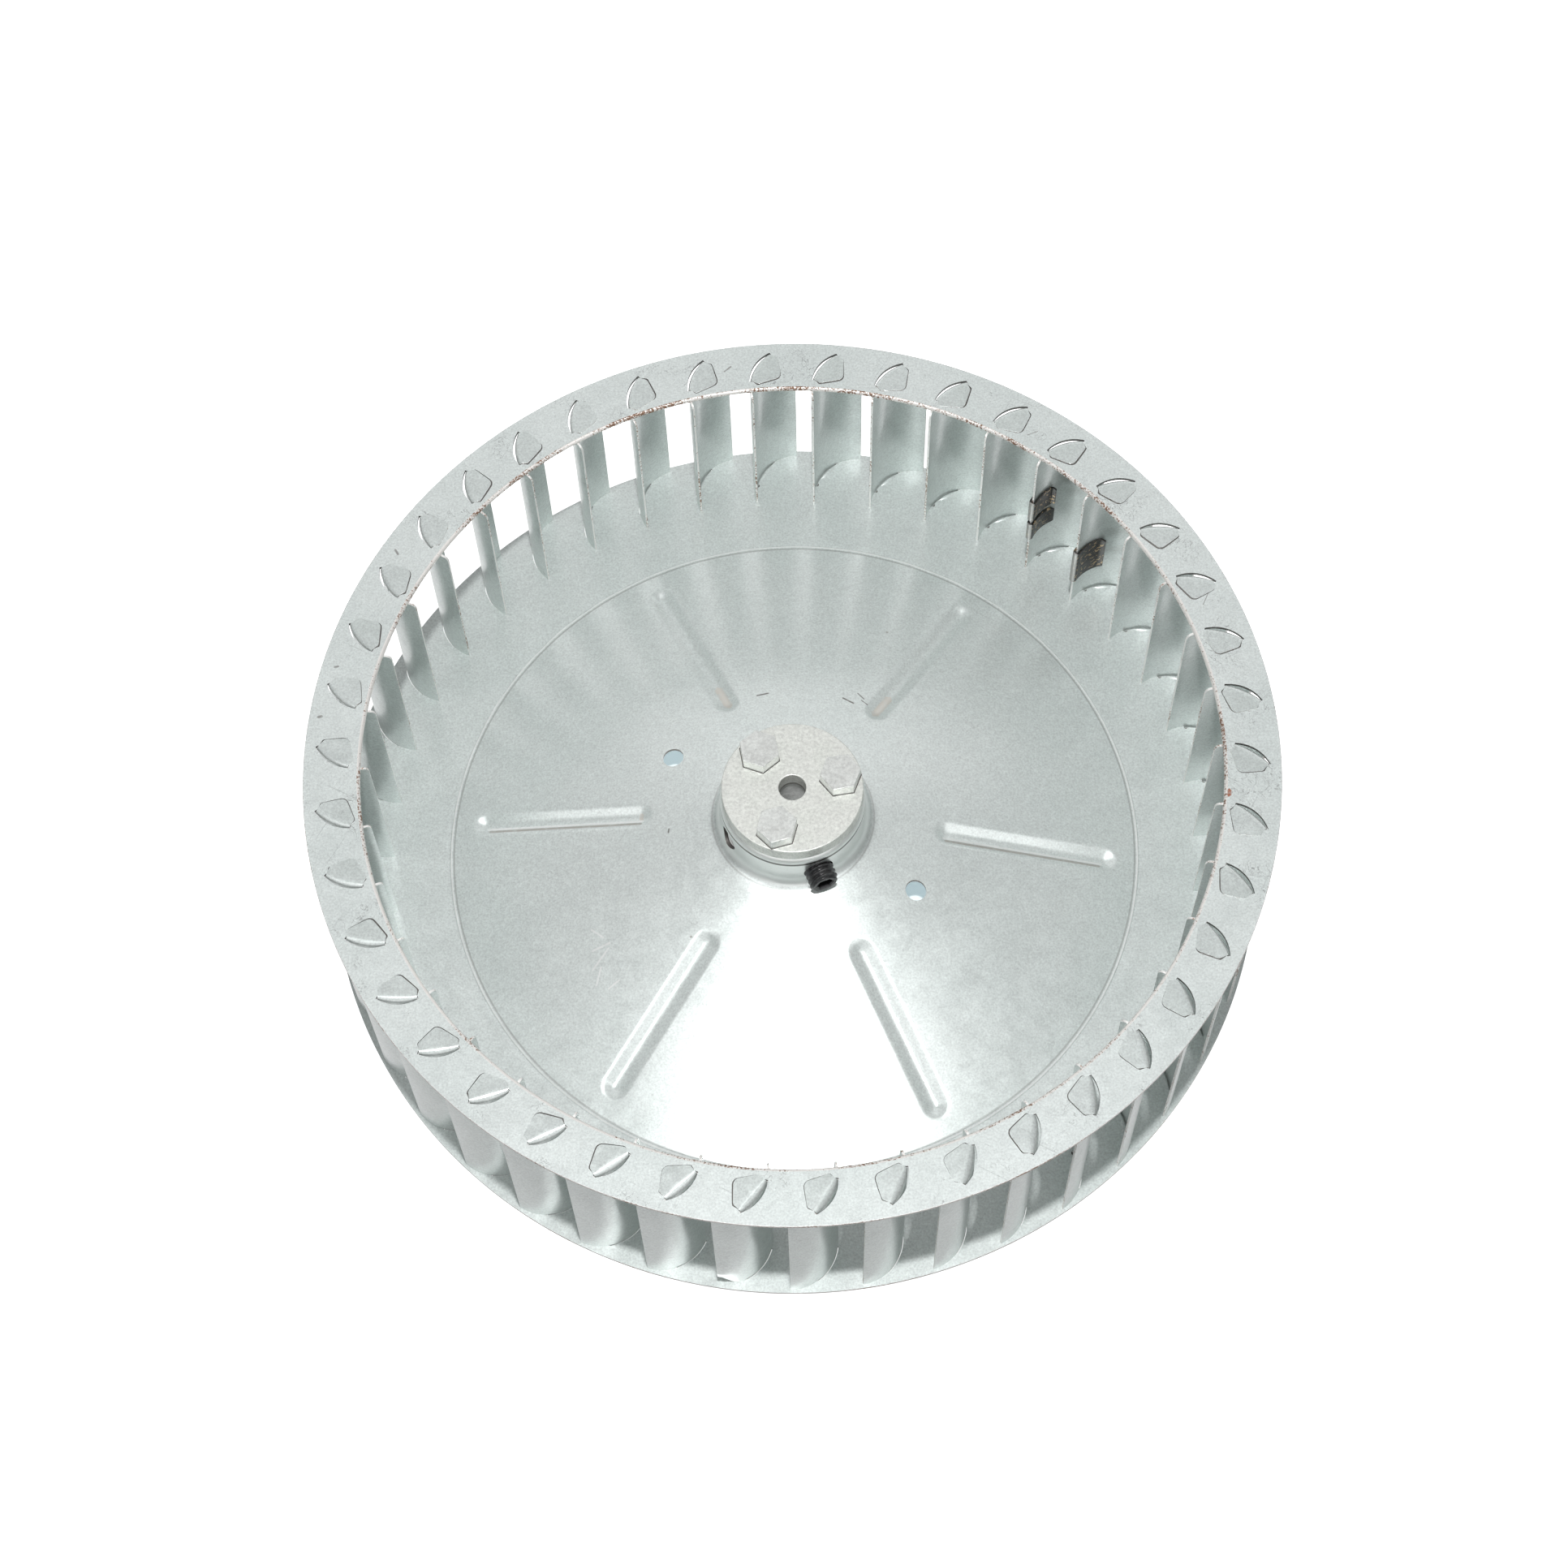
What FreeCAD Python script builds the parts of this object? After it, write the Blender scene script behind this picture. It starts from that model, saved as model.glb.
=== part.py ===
import FreeCAD, Part
import math
import os

# Forward-curved centrifugal blower wheel: sheet-metal blades crimped between a dished back plate and a
# flat inlet ring, on a bored steel hub.  Millimetres.  +Z is the spin axis, towards the inlet side.
# The origin is on the spin axis in the plane that the wheel lies on, the undersides of the folded tabs.

# Driving dimensions
WHEEL_RADIUS = 125.4           # 9 7/8 in wheel
WHEEL_WIDTH = 57.15            # 2 1/4 in, back face of the plate to front face of the ring
SHEET = 0.95                   # thickness of the plate and ring
BLADE_COUNT = 42
BLADE_SHEET = 0.6              # thickness of the blades
EYE_RADIUS = 110.7             # inside of the inlet ring
RING_EDGE_ROUND = 0.85         # rolled inner edge of the ring, on its front side

# Back plate: a flat outer band, a cone that rises to the hub, and a drawn neck with a closed top
CONE_RADIUS = 93.4             # where the flat band ends and the cone starts
CONE_SLOPE = 0.263             # rise per unit of radius
NECK_RADIUS = 19.25            # outside of the neck
NECK_TOP = 34.1                # height of the neck's closed top
NECK_FILLET = 4.0              # between the cone and the neck
NECK_CORNER = 2.2              # at the neck's top
RIB_COUNT = 6                  # stamped radial grooves in the cone
RIB_PHASE = -5.3               # degrees
RIB_INNER = 39.0               # radius at the inner end
RIB_OUTER = 86.6               # radius at the outer end
RIB_HALF_WIDTH = 2.5
RIB_DEPTH = 1.3
PLATE_HOLE_RADIUS = 2.78       # two 7/32 in holes, opposite each other
PLATE_HOLE_CIRCLE = 38.1       # radius of their circle, 3 in across
PLATE_HOLE_ANGLES = (147.3, -32.7)

# Blade section, in a frame whose X axis passes through the blade's inner edge
BLADE_PHASE = -0.3             # degrees, angle of the first blade's inner edge
ARC_CENTRE_X = 111.29
ARC_CENTRE_Y = -11.91
ARC_RADIUS = 12.37             # middle of the sheet
ARC_INNER_EDGE = 101.8         # degrees about the arc's centre
ARC_OUTER_EDGE = -3.5
TAB_START = 77.4               # the tab's two ends, on the same arc
TAB_END = 30.8
TAB_OUTLINE = ((120.6, -7.6, 1.3), (114.1, -7.9, 1.6), (112.5, -1.4, 0.9))   # X, Y and corner radius
SLOT_CLEARANCE = 0.12
CORNER_ROUND = 1.5             # at the blade's upper inner corner

# Hub, clamp disc and fasteners
HUB_RADIUS = 18.15
HUB_LENGTH = 28.575            # 1 1/8 in
HUB_WEB = 1.2                  # end wall above the shaft bore
HUB_EDGE_CUT = 1.2
BORE_RADIUS = 6.35             # 1/2 in shaft
CENTRE_HOLE_RADIUS = 3.57      # 9/32 in hole through to the shaft's end
DISC_RADIUS = 18.7
DISC_THICKNESS = 4.4
DISC_EDGE_CUT = 0.3
BOLT_CIRCLE = 12.9
BOLT_ANGLES = (10.5, 130.5, 250.5)
BOLT_TURNS = (8.0, 39.0, 14.0)  # angle of one corner of each hexagon
BOLT_RADIUS = 3.175            # 1/4 in
BOLT_LENGTH = 12.7
BOLT_HEAD_FLATS = 9.53         # 3/8 in across flats
BOLT_HEAD_HEIGHT = 3.8
BOLT_CLEARANCE = 0.05          # in the hub
BOLT_HOLE_RADIUS = 3.4         # in the disc and plate
SCREW_RADIUS = 3.969           # 5/16 in set screw
SCREW_LENGTH = 12.7
SCREW_OUTER_END = 23.7         # distance of the screw's outer end from the spin axis
SCREW_HEIGHT = 25.7
SCREW_ANGLE = -70.5
SCREW_CLEARANCE = 0.08
SCREW_SOCKET_FLATS = 3.97      # 5/32 in key
SCREW_SOCKET_DEPTH = 5.0
SCREW_EDGE_CUT = 0.5
SCREW_CUP_RADIUS = 2.2
SCREW_CUP_DEPTH = 1.2
SPARE_HOLE_RADIUS = 3.35       # minor radius of the second, empty 5/16 in thread
SPARE_HOLE_ANGLE = -154.5

# Balance clips: blade index, lower end, height, angle on the blade's arc where the legs end
CLIPS = ((6, 28.7, 9.0, 62.0), (6, 18.6, 7.8, 60.0), (5, 13.6, 15.3, 56.0))
CLIP_SHEET = 0.6
CLIP_GAP = 0.2                 # to each face of the blade
FAR = 60.0                     # longer than anything that it cuts

# Heights that follow from the sizes above
PLATE_BACK = BLADE_SHEET
PLATE_FRONT = PLATE_BACK + SHEET
RING_FRONT = PLATE_BACK + WHEEL_WIDTH
RING_BACK = RING_FRONT - SHEET
WHEEL_TOP = RING_FRONT + BLADE_SHEET
HUB_TOP = NECK_TOP - SHEET
HUB_BACK = HUB_TOP - HUB_LENGTH
DISC_TOP = NECK_TOP + DISC_THICKNESS

UP = FreeCAD.Vector(0, 0, 1)
ORIGIN = FreeCAD.Vector(0, 0, 0)


def polar(radius, degrees, z=0.0, centre=(0.0, 0.0)):
    """Point at an angle and radius about a centre."""
    angle = math.radians(degrees)
    x = centre[0] + radius * math.cos(angle)
    y = centre[1] + radius * math.sin(angle)
    return FreeCAD.Vector(x, y, z)


def arc(radius, start, end, z, centre=(0.0, 0.0)):
    """Circular edge from one angle to another."""
    middle = (start + end) / 2.0
    points = [polar(radius, angle, z, centre) for angle in (start, middle, end)]
    return Part.Arc(*points).toShape()


def line(first, second):
    """Straight edge."""
    return Part.LineSegment(first, second).toShape()


def prism(edges, height):
    """Solid above a closed outline."""
    face = Part.Face(Part.Wire(Part.__sortEdges__(edges)))
    return face.extrude(FreeCAD.Vector(0, 0, height))


def cylinder(radius, low, high):
    """Upright cylinder on the spin axis."""
    return Part.makeCylinder(radius, high - low, FreeCAD.Vector(0, 0, low))


def upright_at(radius, distance, degrees, low, high):
    """Upright cylinder away from the spin axis."""
    return Part.makeCylinder(radius, high - low, polar(distance, degrees, low))


def radial(radius, start, end, degrees, z):
    """Cylinder that lies along a radius of the wheel."""
    direction = polar(1.0, degrees)
    return Part.makeCylinder(radius, end - start, polar(start, degrees, z), direction)


def hexagon(flats, low, high, turn=0.0):
    """Upright hexagonal prism with one corner at the given angle."""
    corner = flats / math.sqrt(3.0)
    points = [polar(corner, turn + 60.0 * step, low) for step in range(7)]
    face = Part.Face(Part.makePolygon(points))
    return face.extrude(FreeCAD.Vector(0, 0, high - low))


def turned(shape, degrees):
    """Copy of a shape, turned about the spin axis."""
    copy = shape.copy()
    copy.rotate(ORIGIN, UP, degrees)
    return copy


def revolve(edges):
    """Solid of revolution of a closed outline in the XZ plane."""
    face = Part.Face(Part.Wire(Part.__sortEdges__(edges)))
    return face.revolve(ORIGIN, UP, 360)


def blade_angles():
    """Angle of each blade's inner edge."""
    return [BLADE_PHASE + index * 360.0 / BLADE_COUNT for index in range(BLADE_COUNT)]


# --- blade -----------------------------------------------------------------------------------------

def curved_strip(thickness, start, end, low, high):
    """Part of the blade's curved sheet between two angles on its arc."""
    centre = (ARC_CENTRE_X, ARC_CENTRE_Y)
    outer = ARC_RADIUS + thickness / 2.0
    inner = ARC_RADIUS - thickness / 2.0
    edges = [
        arc(outer, start, end, low, centre),
        line(polar(outer, end, low, centre), polar(inner, end, low, centre)),
        arc(inner, end, start, low, centre),
        line(polar(inner, start, low, centre), polar(outer, start, low, centre)),
    ]
    return prism(edges, high - low)


def rounded_path(points, radii):
    """Edges through points, each inner corner rounded to its radius."""
    edges = []
    here = points[0]
    for index, radius in enumerate(radii, start=1):
        corner = points[index]
        back = (points[index - 1] - corner).normalize()
        ahead = (points[index + 1] - corner).normalize()
        half = back.getAngle(ahead) / 2.0
        reach = radius / math.tan(half)
        bisector = (back + ahead).normalize()
        entry = corner + back * reach
        leave = corner + ahead * reach
        crown = corner + bisector * (radius / math.sin(half) - radius)
        edges.append(line(here, entry))
        edges.append(Part.Arc(entry, crown, leave).toShape())
        here = leave
    edges.append(line(here, points[-1]))
    return edges


def folded_tab(low, high):
    """Tab folded flat over the blade's hollow side."""
    centre = (ARC_CENTRE_X, ARC_CENTRE_Y)
    outer = ARC_RADIUS + BLADE_SHEET / 2.0
    start = polar(outer, TAB_START, low, centre)
    end = polar(outer, TAB_END, low, centre)
    corners = [FreeCAD.Vector(x, y, low) for x, y, radius in TAB_OUTLINE]
    radii = [radius for x, y, radius in TAB_OUTLINE]
    edges = [arc(outer, TAB_START, TAB_END, low, centre)]
    edges += rounded_path([end] + corners + [start], radii)
    return prism(edges, high - low)


def corner_cut():
    """Cutter that rounds the blade's upper inner corner."""
    edge = polar(ARC_RADIUS, ARC_INNER_EDGE, 0.0, (ARC_CENTRE_X, ARC_CENTRE_Y)).x
    side = FreeCAD.Vector(0, -CORNER_ROUND * 2, 0)
    low = FreeCAD.Vector(edge, 0, RING_BACK - CORNER_ROUND) + side
    high = FreeCAD.Vector(edge + CORNER_ROUND, 0, RING_BACK) + side
    slant = CORNER_ROUND * (1.0 - math.sqrt(0.5))
    middle = FreeCAD.Vector(edge + slant, 0, RING_BACK - slant) + side
    outside = [
        FreeCAD.Vector(edge + CORNER_ROUND, 0, RING_BACK + 1.0) + side,
        FreeCAD.Vector(edge - 1.0, 0, RING_BACK + 1.0) + side,
        FreeCAD.Vector(edge - 1.0, 0, RING_BACK - CORNER_ROUND) + side,
    ]
    points = [high] + outside + [low]
    edges = [Part.Arc(low, middle, high).toShape()]
    edges += [line(points[index], points[index + 1]) for index in range(4)]
    face = Part.Face(Part.Wire(Part.__sortEdges__(edges)))
    return face.extrude(FreeCAD.Vector(0, CORNER_ROUND * 4, 0))


def make_blade():
    """One blade at angle zero, with a folded tab at each end."""
    body = curved_strip(BLADE_SHEET, ARC_INNER_EDGE, ARC_OUTER_EDGE, PLATE_FRONT, RING_BACK)
    body = body.cut(corner_cut())
    neck = curved_strip(BLADE_SHEET, TAB_START, TAB_END, 0.0, WHEEL_TOP)
    pieces = [neck, folded_tab(0.0, PLATE_BACK), folded_tab(RING_FRONT, WHEEL_TOP)]
    return body.multiFuse(pieces).removeSplitter()


def tab_slots(low, high):
    """Cutters for the slots that the tabs pass through."""
    extra = math.degrees(SLOT_CLEARANCE / ARC_RADIUS)
    width = BLADE_SHEET + 2 * SLOT_CLEARANCE
    slot = curved_strip(width, TAB_START + extra, TAB_END - extra, low, high)
    return [turned(slot, angle) for angle in blade_angles()]


# --- ring and plate ----------------------------------------------------------------------------------

def make_ring():
    """Flat inlet ring with its rolled inner edge and tab slots."""
    low, high = RING_BACK, RING_FRONT
    corner = EYE_RADIUS + RING_EDGE_ROUND
    slant = RING_EDGE_ROUND * (1.0 - math.sqrt(0.5))
    points = [
        FreeCAD.Vector(EYE_RADIUS, 0, low),
        FreeCAD.Vector(WHEEL_RADIUS, 0, low),
        FreeCAD.Vector(WHEEL_RADIUS, 0, high),
        FreeCAD.Vector(corner, 0, high),
        FreeCAD.Vector(EYE_RADIUS, 0, high - RING_EDGE_ROUND),
    ]
    crown = FreeCAD.Vector(EYE_RADIUS + slant, 0, high - slant)
    edges = [line(points[index], points[index + 1]) for index in range(3)]
    edges.append(Part.Arc(points[3], crown, points[4]).toShape())
    edges.append(line(points[4], points[0]))
    return revolve(edges).cut(tab_slots(low - 1.0, high + 1.0))


def cone_height(radius):
    """Height of the plate's front surface on the cone."""
    return PLATE_FRONT + CONE_SLOPE * (CONE_RADIUS - radius)


def plate_side(depth):
    """Edges of one side of the plate's section, a given depth behind its front surface."""
    stretch = math.hypot(1.0, CONE_SLOPE)
    tilt = math.atan(CONE_SLOPE)
    centre_x = NECK_RADIUS + NECK_FILLET
    centre_z = cone_height(centre_x) + NECK_FILLET * stretch
    fillet = NECK_FILLET + depth
    corner = NECK_CORNER - depth
    crease_x = CONE_RADIUS - depth * (stretch - 1.0) / CONE_SLOPE
    corner_x = NECK_RADIUS - NECK_CORNER
    corner_z = NECK_TOP - NECK_CORNER

    def about(x, z, radius, angle):
        return FreeCAD.Vector(x + radius * math.cos(angle), 0, z + radius * math.sin(angle))

    cone_end = about(centre_x, centre_z, fillet, math.pi * 1.5 - tilt)
    fillet_middle = about(centre_x, centre_z, fillet, (math.pi * 2.5 - tilt) / 2.0)
    neck_foot = about(centre_x, centre_z, fillet, math.pi)
    neck_head = about(corner_x, corner_z, corner, 0.0)
    corner_middle = about(corner_x, corner_z, corner, math.pi / 4.0)
    top_start = about(corner_x, corner_z, corner, math.pi / 2.0)
    rim = FreeCAD.Vector(WHEEL_RADIUS, 0, PLATE_FRONT - depth)
    crease = FreeCAD.Vector(crease_x, 0, PLATE_FRONT - depth)
    middle = FreeCAD.Vector(CENTRE_HOLE_RADIUS, 0, NECK_TOP - depth)
    edges = [
        line(rim, crease),
        line(crease, cone_end),
        Part.Arc(cone_end, fillet_middle, neck_foot).toShape(),
        line(neck_foot, neck_head),
        Part.Arc(neck_head, corner_middle, top_start).toShape(),
        line(top_start, middle),
    ]
    return edges, rim, middle


def rib_prism(half_width):
    """Upright prism with the plan outline of one radial groove, at angle zero."""
    inner = RIB_INNER + RIB_HALF_WIDTH
    outer = RIB_OUTER - RIB_HALF_WIDTH
    edges = [
        line(FreeCAD.Vector(inner, half_width, 0), FreeCAD.Vector(outer, half_width, 0)),
        arc(half_width, 90, -90, 0, (outer, 0.0)),
        line(FreeCAD.Vector(outer, -half_width, 0), FreeCAD.Vector(inner, -half_width, 0)),
        arc(half_width, 270, 90, 0, (inner, 0.0)),
    ]
    return prism(edges, FAR)


def cone_band(above, below):
    """Ring of material that follows the cone, from above its front surface to below it."""
    radii = (RIB_INNER - RIB_HALF_WIDTH * 2, CONE_RADIUS)
    front = [FreeCAD.Vector(radius, 0, cone_height(radius) + above) for radius in radii]
    back = [FreeCAD.Vector(radius, 0, cone_height(radius) - below) for radius in reversed(radii)]
    points = front + back
    edges = [line(points[index], points[(index + 1) % 4]) for index in range(4)]
    return revolve(edges)


def rib_shapes():
    """Beads that stand out at the back, and the grooves cut from the front."""
    stretch = math.hypot(1.0, CONE_SLOPE)
    bead = rib_prism(RIB_HALF_WIDTH + SHEET).common(cone_band(-SHEET / 2.0, (SHEET + RIB_DEPTH) * stretch))
    groove = rib_prism(RIB_HALF_WIDTH).common(cone_band(SHEET, RIB_DEPTH * stretch))
    angles = [RIB_PHASE + index * 360.0 / RIB_COUNT for index in range(RIB_COUNT)]
    beads = [turned(bead, angle) for angle in angles]
    grooves = [turned(groove, angle) for angle in angles]
    return beads, grooves


def bolt_holes(radius, low, high):
    """Cutters for the three clamp bolts."""
    return [upright_at(radius, BOLT_CIRCLE, angle, low, high) for angle in BOLT_ANGLES]


def screw_holes(start, end):
    """Cutters for the set screw's hole and the spare one."""
    used = radial(SCREW_RADIUS + SCREW_CLEARANCE, start, end, SCREW_ANGLE, SCREW_HEIGHT)
    spare = radial(SPARE_HOLE_RADIUS, start, end, SPARE_HOLE_ANGLE, SCREW_HEIGHT)
    return [used, spare]


def make_plate():
    """Dished back plate with its neck, grooves, slots and holes."""
    front, front_rim, front_middle = plate_side(0.0)
    back, back_rim, back_middle = plate_side(SHEET)
    ends = [line(front_rim, back_rim), line(front_middle, back_middle)]
    plate = revolve(front + back + ends)
    beads, grooves = rib_shapes()
    plate = plate.multiFuse(beads).cut(grooves)
    cutters = tab_slots(PLATE_BACK - 1.0, PLATE_FRONT + 1.0)
    cutters += bolt_holes(BOLT_HOLE_RADIUS, HUB_TOP - 1.0, NECK_TOP + 1.0)
    cutters += screw_holes(NECK_RADIUS - NECK_CORNER, NECK_RADIUS + NECK_FILLET * 2)
    for angle in PLATE_HOLE_ANGLES:
        cutters.append(upright_at(PLATE_HOLE_RADIUS, PLATE_HOLE_CIRCLE, angle, PLATE_FRONT, NECK_TOP))
    return plate.cut(cutters).removeSplitter()


# --- hub and fasteners ---------------------------------------------------------------------------------

def make_hub():
    """Hub inside the neck, bored from the back for the motor shaft."""
    hub = cylinder(HUB_RADIUS, HUB_BACK, HUB_TOP)
    rims = [edge for edge in hub.Edges if edge.Curve.TypeId == "Part::GeomCircle"]
    hub = hub.makeChamfer(HUB_EDGE_CUT, rims)
    cutters = [
        cylinder(BORE_RADIUS, HUB_BACK - 1.0, HUB_TOP - HUB_WEB),
        cylinder(CENTRE_HOLE_RADIUS, HUB_BACK, HUB_TOP + 1.0),
    ]
    cutters += screw_holes(0.0, HUB_RADIUS + 1.0)
    cutters += bolt_holes(BOLT_RADIUS + BOLT_CLEARANCE, DISC_TOP - BOLT_LENGTH - 1.0, HUB_TOP + 1.0)
    return hub.cut(cutters)


def make_disc():
    """Clamp disc on the neck's closed top."""
    disc = cylinder(DISC_RADIUS, NECK_TOP, DISC_TOP)
    rims = [edge for edge in disc.Edges if edge.Curve.TypeId == "Part::GeomCircle"]
    disc = disc.makeChamfer(DISC_EDGE_CUT, rims)
    cutters = [cylinder(CENTRE_HOLE_RADIUS, NECK_TOP - 1.0, DISC_TOP + 1.0)]
    cutters += bolt_holes(BOLT_HOLE_RADIUS, NECK_TOP - 1.0, DISC_TOP + 1.0)
    return disc.cut(cutters)


def make_bolt(angle, turn):
    """Clamp bolt with a plain hexagonal head."""
    head = hexagon(BOLT_HEAD_FLATS, DISC_TOP, DISC_TOP + BOLT_HEAD_HEIGHT, turn)
    shank = cylinder(BOLT_RADIUS, DISC_TOP - BOLT_LENGTH, DISC_TOP + BOLT_HEAD_HEIGHT / 2.0)
    bolt = head.fuse(shank)
    bolt.translate(polar(BOLT_CIRCLE, angle))
    return bolt


def make_screw():
    """Set screw with a hexagonal socket outside and a cup point inside."""
    screw = cylinder(SCREW_RADIUS, 0.0, SCREW_LENGTH)
    rims = [edge for edge in screw.Edges if edge.Curve.TypeId == "Part::GeomCircle"]
    screw = screw.makeChamfer(SCREW_EDGE_CUT, rims)
    socket = hexagon(SCREW_SOCKET_FLATS, SCREW_LENGTH - SCREW_SOCKET_DEPTH, SCREW_LENGTH + 1.0)
    cup = Part.makeCone(SCREW_CUP_RADIUS, 0.0, SCREW_CUP_DEPTH)
    screw = screw.cut([socket, cup])
    screw.rotate(ORIGIN, FreeCAD.Vector(0, 1, 0), 90)
    screw.translate(FreeCAD.Vector(SCREW_OUTER_END - SCREW_LENGTH, 0, SCREW_HEIGHT))
    return turned(screw, SCREW_ANGLE)


def make_clip(index, low, height, end):
    """Folded spring clip over a blade's inner edge."""
    opening = BLADE_SHEET + 2 * CLIP_GAP
    outside = opening + 2 * CLIP_SHEET
    edge_gap = math.degrees(CLIP_GAP / ARC_RADIUS)
    edge_sheet = math.degrees(CLIP_SHEET / ARC_RADIUS)
    start = ARC_INNER_EDGE + edge_gap
    outer = curved_strip(outside, start + edge_sheet, end, low, low + height)
    inner = curved_strip(opening, start, end - edge_sheet, low - 1.0, low + height + 1.0)
    return turned(outer.cut(inner), blade_angles()[index])


def export(name, shape):
    """Write one node's STEP file and print a short summary."""
    if not shape.isValid():
        raise ValueError(name + " is not a valid shape")
    shape.exportStep("parts/" + name + ".step")
    print(name, len(shape.Solids), "solid(s)", round(shape.Volume / 1000.0, 3), "cm3")


def main():
    os.makedirs("parts", exist_ok=True)
    export("inlet_ring", make_ring())
    export("back_plate", make_plate())
    blade = make_blade()
    for index, angle in enumerate(blade_angles(), start=1):
        export("blade_%02d" % index, turned(blade, angle))
    export("hub", make_hub())
    export("hub_clamp_disc", make_disc())
    bolts = [make_bolt(angle, turn) for angle, turn in zip(BOLT_ANGLES, BOLT_TURNS)]
    export("hub_bolts", Part.makeCompound(bolts))
    export("set_screw", make_screw())
    for index, clip in enumerate(CLIPS, start=1):
        export("balance_clip_%d" % index, make_clip(*clip))


main()
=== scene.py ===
import math
import random

import bmesh
import bpy
import numpy as np
from mathutils import Matrix, Vector


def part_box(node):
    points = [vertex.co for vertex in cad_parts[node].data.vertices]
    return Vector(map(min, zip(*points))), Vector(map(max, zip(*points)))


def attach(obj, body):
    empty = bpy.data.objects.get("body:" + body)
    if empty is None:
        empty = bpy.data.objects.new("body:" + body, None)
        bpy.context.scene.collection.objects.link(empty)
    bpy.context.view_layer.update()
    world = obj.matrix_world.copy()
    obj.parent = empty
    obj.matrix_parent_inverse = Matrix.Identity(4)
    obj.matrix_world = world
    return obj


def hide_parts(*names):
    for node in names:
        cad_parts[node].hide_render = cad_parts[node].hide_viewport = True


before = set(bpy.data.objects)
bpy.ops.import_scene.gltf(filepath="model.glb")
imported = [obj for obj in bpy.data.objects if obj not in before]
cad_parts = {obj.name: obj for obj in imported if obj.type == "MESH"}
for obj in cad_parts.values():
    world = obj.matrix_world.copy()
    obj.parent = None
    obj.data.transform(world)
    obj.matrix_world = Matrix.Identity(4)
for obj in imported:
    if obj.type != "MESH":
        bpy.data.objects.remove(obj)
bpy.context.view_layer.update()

# Lengths are in millimetres until a mesh is made; meshes and the scene are in metres.
MM = 0.001
BODY = "wheel"


def box_mm(node):
    """Lowest and highest corner of a CAD node in millimetres."""
    low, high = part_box(node)
    return Vector(low) / MM, Vector(high) / MM


ring_low, ring_high = box_mm("inlet_ring")
plate_low, plate_high = box_mm("back_plate")
disc_low, disc_high = box_mm("hub_clamp_disc")
bolt_low, bolt_high = box_mm("hub_bolts")

WHEEL_RADIUS = ring_high.x
RING_BACK = ring_low.z
RING_FRONT = ring_high.z
WHEEL_TOP = box_mm("blade_01")[1].z
SHEET = RING_FRONT - RING_BACK
PLATE_BACK = plate_low.z
PLATE_FRONT = plate_low.z + SHEET
NECK_TOP = plate_high.z
DISC_TOP = disc_high.z

# The rest of the wheel's design, as in its CAD model
BLADE_COUNT = 42
BLADE_SHEET = 0.6
EYE_RADIUS = 110.7
RING_EDGE_ROUND = 0.85
CONE_RADIUS = 93.4
CONE_SLOPE = 0.263
NECK_RADIUS = 19.25
NECK_FILLET = 4.0
NECK_CORNER = 2.2
RIB_COUNT = 6
RIB_PHASE = -5.3
RIB_INNER = 39.0
RIB_OUTER = 86.6
RIB_HALF_WIDTH = 2.5
RIB_DEPTH = 1.3
PLATE_HOLE_RADIUS = 2.78
PLATE_HOLE_CIRCLE = 38.1
PLATE_HOLE_ANGLES = (147.3, -32.7)
BLADE_PHASE = -0.3
ARC_CENTRE = (111.29, -11.91)
ARC_RADIUS = 12.37
ARC_INNER_EDGE = 101.8
ARC_OUTER_EDGE = -3.5
TAB_START = 77.4
TAB_END = 30.8
TAB_OUTLINE = ((120.6, -7.6, 1.3), (114.1, -7.9, 1.6), (112.5, -1.4, 0.9))
CORNER_ROUND = 1.5
CENTRE_HOLE_RADIUS = 3.57
BOLT_CIRCLE = 12.9
BOLT_ANGLES = (10.5, 130.5, 250.5)
BOLT_TURNS = (8.0, 39.0, 14.0)
BOLT_HEAD_FLATS = 9.53
BOLT_HOLE_RADIUS = 3.4
SCREW_RADIUS = 3.969
SCREW_LENGTH = 12.7
SCREW_OUTER_END = 23.7
SCREW_HEIGHT = 25.7
SCREW_ANGLE = -70.5
SCREW_PITCH = 25.4 / 18
SCREW_SOCKET_FLATS = 3.97
SCREW_SOCKET_DEPTH = 5.0
SPARE_HOLE_RADIUS = 3.35
SPARE_HOLE_ANGLE = -154.5

# --- camera, light and stage ---

FOCAL_LENGTH = 71.2586
SENSOR = 36.0
CAMERA_DISTANCE = 846.98
CAMERA_ELEVATION = 1.14726
CAMERA_ROLL = 0.02809
CAMERA_PITCH = -0.01986
CAMERA_YAW = -0.00264
KEY_TILT = math.radians(10.5)
KEY_DISTANCE = 1.25
KEY_SIZE = 0.05
KEY_POWER = 8.6
GLOW_PLACES = ((-0.62, -0.50, 1.00), (0.58, -0.55, 1.00))
GLOW_SIZE = 0.55
GLOW_POWER = 1.1
LIGHT_AIM = Vector((0.0, 0.0, 0.03))
# Ramps are a range and the levels at its two ends. The studio's brightness runs along a direction.
SKY_WAY = (-0.06, -0.10, 1.0)
SKY_RAMP = (0.0, 1.0, 0.06, 0.44)
SHEEN_WAY = (0.0, 1.0, 0.0)
SHEEN_RAMP = (0.40, 0.88, 0.27, 1.22)
HORIZON_RAMP = (0.88, 0.98, 1.0, 0.35)
# The paper's brightness runs from the near side to the far side.
PAPER_RAMP = (-0.15, 0.15, 0.50, 0.90)
PAPER_SHEEN_RAMP = (-0.15, 0.15, 0.70, 1.3)
# Painted shadow on the paper under the wheel: its glow seen by the camera is this dim bluish colour near the
# middle, turning white between the two radii in metres below.
PAPER_SHADOW_TINT = (0.20, 0.30, 0.34)
PAPER_SHADOW_FADE = (0.05, 0.10)
PAPER_SEEN = (0.98, 0.98, 0.98, 1.0)
WHITE = (1.0, 1.0, 1.0)
FLOOR_SIZE = 12.0
FLOOR_DROP = 0.0002


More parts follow.
